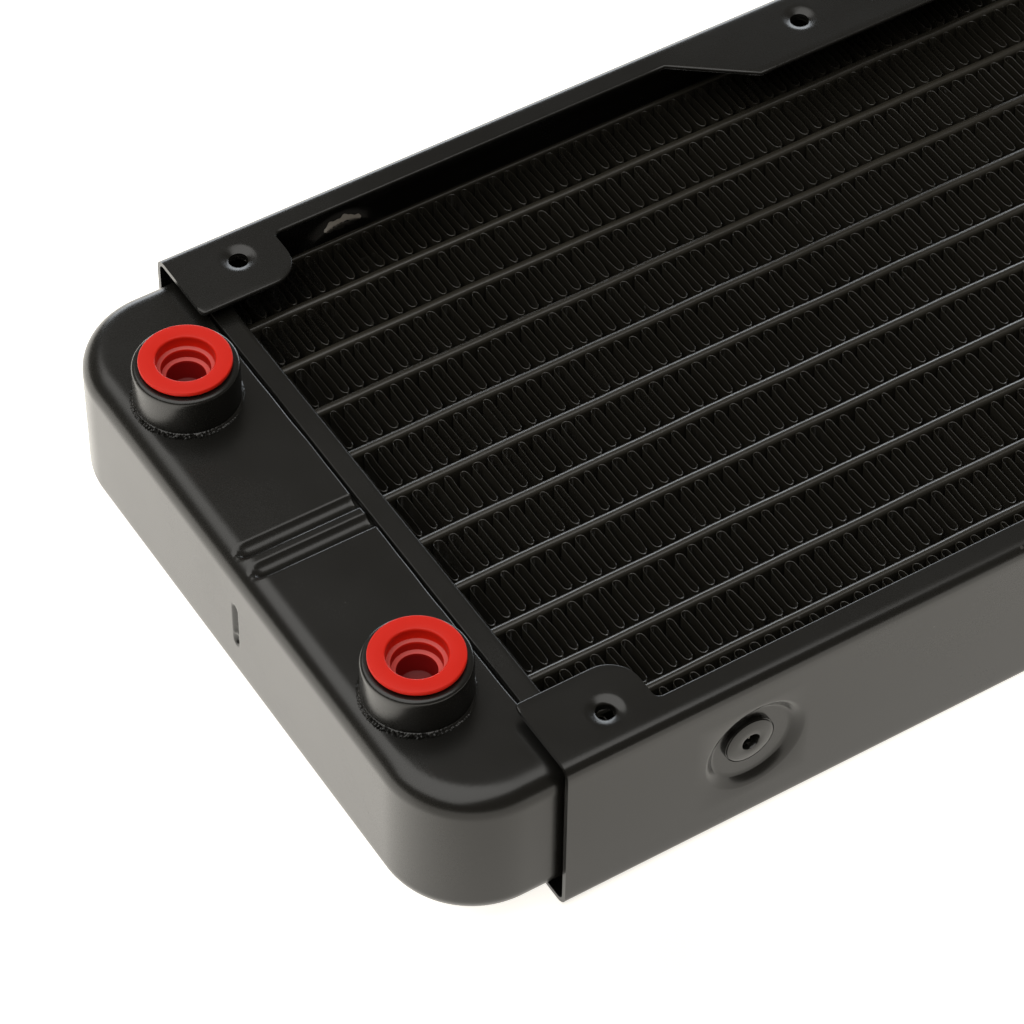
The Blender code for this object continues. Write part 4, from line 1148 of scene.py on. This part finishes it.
# %% Plugs
FLANGE_SHEET = 0.8
STEM = 5.68
MOUTH = 4.5
upper, lower = LEDGES
for side in ("right", "left"):
    low, high = node_box(f"port_plug_{side}")
    centre = (low + high) / 2
    top = high[2]
    flange = (high[0] - low[0]) / 2
    under = top - FLANGE_SHEET
    profile = [(0.001, low[2] + 1.0), (2.8, low[2] + 1.0), (2.98, low[2] + 1.2),
               (3.02, top - lower - 0.08), (3.08, top - lower), (3.72, top - lower),
               (3.78, top - lower + 0.08), (3.8, top - upper - 0.07), (3.86, top - upper),
               (4.42, top - upper), (MOUTH - 0.02, top - upper + 0.08), (MOUTH, top - 0.5)]
    profile += round_corner((MOUTH + 0.35, top - 0.35), 0.35, 180, 90, 5)
    profile += round_corner((flange - 0.25, top - 0.25), 0.25, 90, 0, 5)
    profile += round_corner((flange - 0.2, under + 0.2), 0.2, 0, -90, 4)
    profile += [(STEM, under), (STEM, low[2] + 0.8), (STEM - 0.5, low[2] + 0.15),
                (STEM - 0.9, low[2]), (0.001, low[2])]
    points, faces = turned(profile, 96)
    placed = points + [centre[0], centre[1], 0]
    add_piece(f"port_plug_{side}_cap", placed, faces, "red_plug_plastic",
              [f"port_plug_{side}"], body=f"{side}_plug", sharp=60, weld=True)
    print(side, "plug is", round(top - low[2], 1), "mm tall")

# %% [markdown]
# ## Carried-over frame pieces
# The baffle inside the port tank can't be seen, so the frame's own piece stays and takes the core's
# paint.

# %% Finish the baffle
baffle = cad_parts["tank_baffle"]
baffle.data.materials.clear()
baffle.data.materials.append(finishes["black_core_paint"])

# %% [markdown]
# ## Floor, lights and camera
# Black satin paint shows only what it mirrors. A bright pale floor lights the upright faces, one
# large softbox overhead draws the soft bands on the bends, and a low strip behind picks out the
# thin edges.

# %% Floor
FLOOR_HALF = 6.0
FLOOR_DROP = 0.1 * MM
FLOOR_GLOW = 1.3
floor_mesh = bpy.data.meshes.new("floor")
floor_mesh.from_pydata([(x * FLOOR_HALF, y * FLOOR_HALF, -FLOOR_DROP) for x, y in
                        ((-1, -1), (1, -1), (1, 1), (-1, 1))], [], [(0, 1, 2, 3)])
floor = bpy.data.objects.new("floor", floor_mesh)
bpy.context.scene.collection.objects.link(floor)
floor_look = bpy.data.materials.new("pale_floor")
floor_look.use_nodes = True
shader = floor_look.node_tree.nodes["Principled BSDF"]
shader.inputs["Base Color"].default_value = (0.8, 0.775, 0.72, 1)
shader.inputs["Roughness"].default_value = 0.9
shader.inputs["Specular IOR Level"].default_value = 0.0
shader.inputs["Emission Color"].default_value = (1.0, 0.965, 0.905, 1)
tree = floor_look.node_tree
# Painted shadow: the floor glows dimmer beside the right panel, more so towards the ports, where the
# radiator shades it.
place = add_node(tree, "ShaderNodeSeparateXYZ",
                 Vector=add_node(tree, "ShaderNodeTexCoord").outputs["Object"])
beside = add_node(tree, "ShaderNodeMapRange", Value=place.outputs["Y"], From_Min=-0.03,
                  From_Max=-0.08, To_Min=0.0, To_Max=1.0, interpolation_type="SMOOTHSTEP")
along = add_node(tree, "ShaderNodeMapRange", Value=place.outputs["X"], From_Min=-0.11,
                 From_Max=0.15, To_Min=0.62, To_Max=0.06)
painted_shadow = maths(tree, "MULTIPLY", beside.outputs[0], along.outputs[0])
tree.links.new(maths(tree, "MULTIPLY_ADD", painted_shadow, -FLOOR_GLOW, FLOOR_GLOW),
               shader.inputs["Emission Strength"])
floor_mesh.materials.append(floor_look)
floor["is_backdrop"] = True

# %% Softboxes and the dim room


def add_softbox(name, centre, turn, width, length, radiance, tint):
    """A rectangular area light, given by its brightness in mirror view."""
    data = bpy.data.lights.new(name, "AREA")
    data.shape = "RECTANGLE"
    data.size = width
    data.size_y = length
    data.energy = radiance * math.pi * width * length
    data.color = tint
    light = bpy.data.objects.new(name, data)
    bpy.context.scene.collection.objects.link(light)
    light.location = centre
    light.rotation_euler = [math.radians(angle) for angle in turn]
    light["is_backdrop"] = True


add_softbox("softbox_overhead", centre=(-0.65, 0.14, 1.2), turn=(0, 0, 20), width=1.9, length=1.95,
            radiance=1.98, tint=(1.0, 0.985, 0.95))
add_softbox("strip_behind", centre=(0.8, 1.0, 0.23), turn=(90, 0, 143), width=1.8, length=0.42,
            radiance=4.4, tint=(0.88, 0.94, 1.0))
world = bpy.data.worlds.new("dim_room")
world.use_nodes = True
world.node_tree.nodes["Background"].inputs["Color"].default_value = (0.15, 0.138, 0.12, 1)
bpy.context.scene.world = world
bpy.context.scene.view_settings.view_transform = "Standard"
bpy.context.scene.view_settings.look = "None"

# %% Camera, looking down across the length of the core
CAMERA_PLACE = (-0.32899, -0.3772, 0.5209)
camera_data = bpy.data.cameras.new("camera")
camera_data.lens = 156.1
camera_data.sensor_width = 36
camera = bpy.data.objects.new("camera", camera_data)
bpy.context.scene.collection.objects.link(camera)
view_forward = Vector((0.3542, 0.5574, -0.7509)).normalized()
view_right = Vector((0.8487, -0.5288, 0.0078))
view_right = (view_right - view_right.dot(view_forward) * view_forward).normalized()
view_up = view_right.cross(view_forward)
axes = Matrix((view_right, view_up, -view_forward)).transposed()
camera.matrix_world = Matrix.Translation(CAMERA_PLACE) @ axes.to_4x4()
bpy.context.scene.camera = camera
print("camera stands", round(CAMERA_PLACE[2] / MM), "mm above the floor")

# %% Write the sizes and finish
low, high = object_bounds()
print("visual size in mm:", [round(v / MM, 2) for v in high - low])
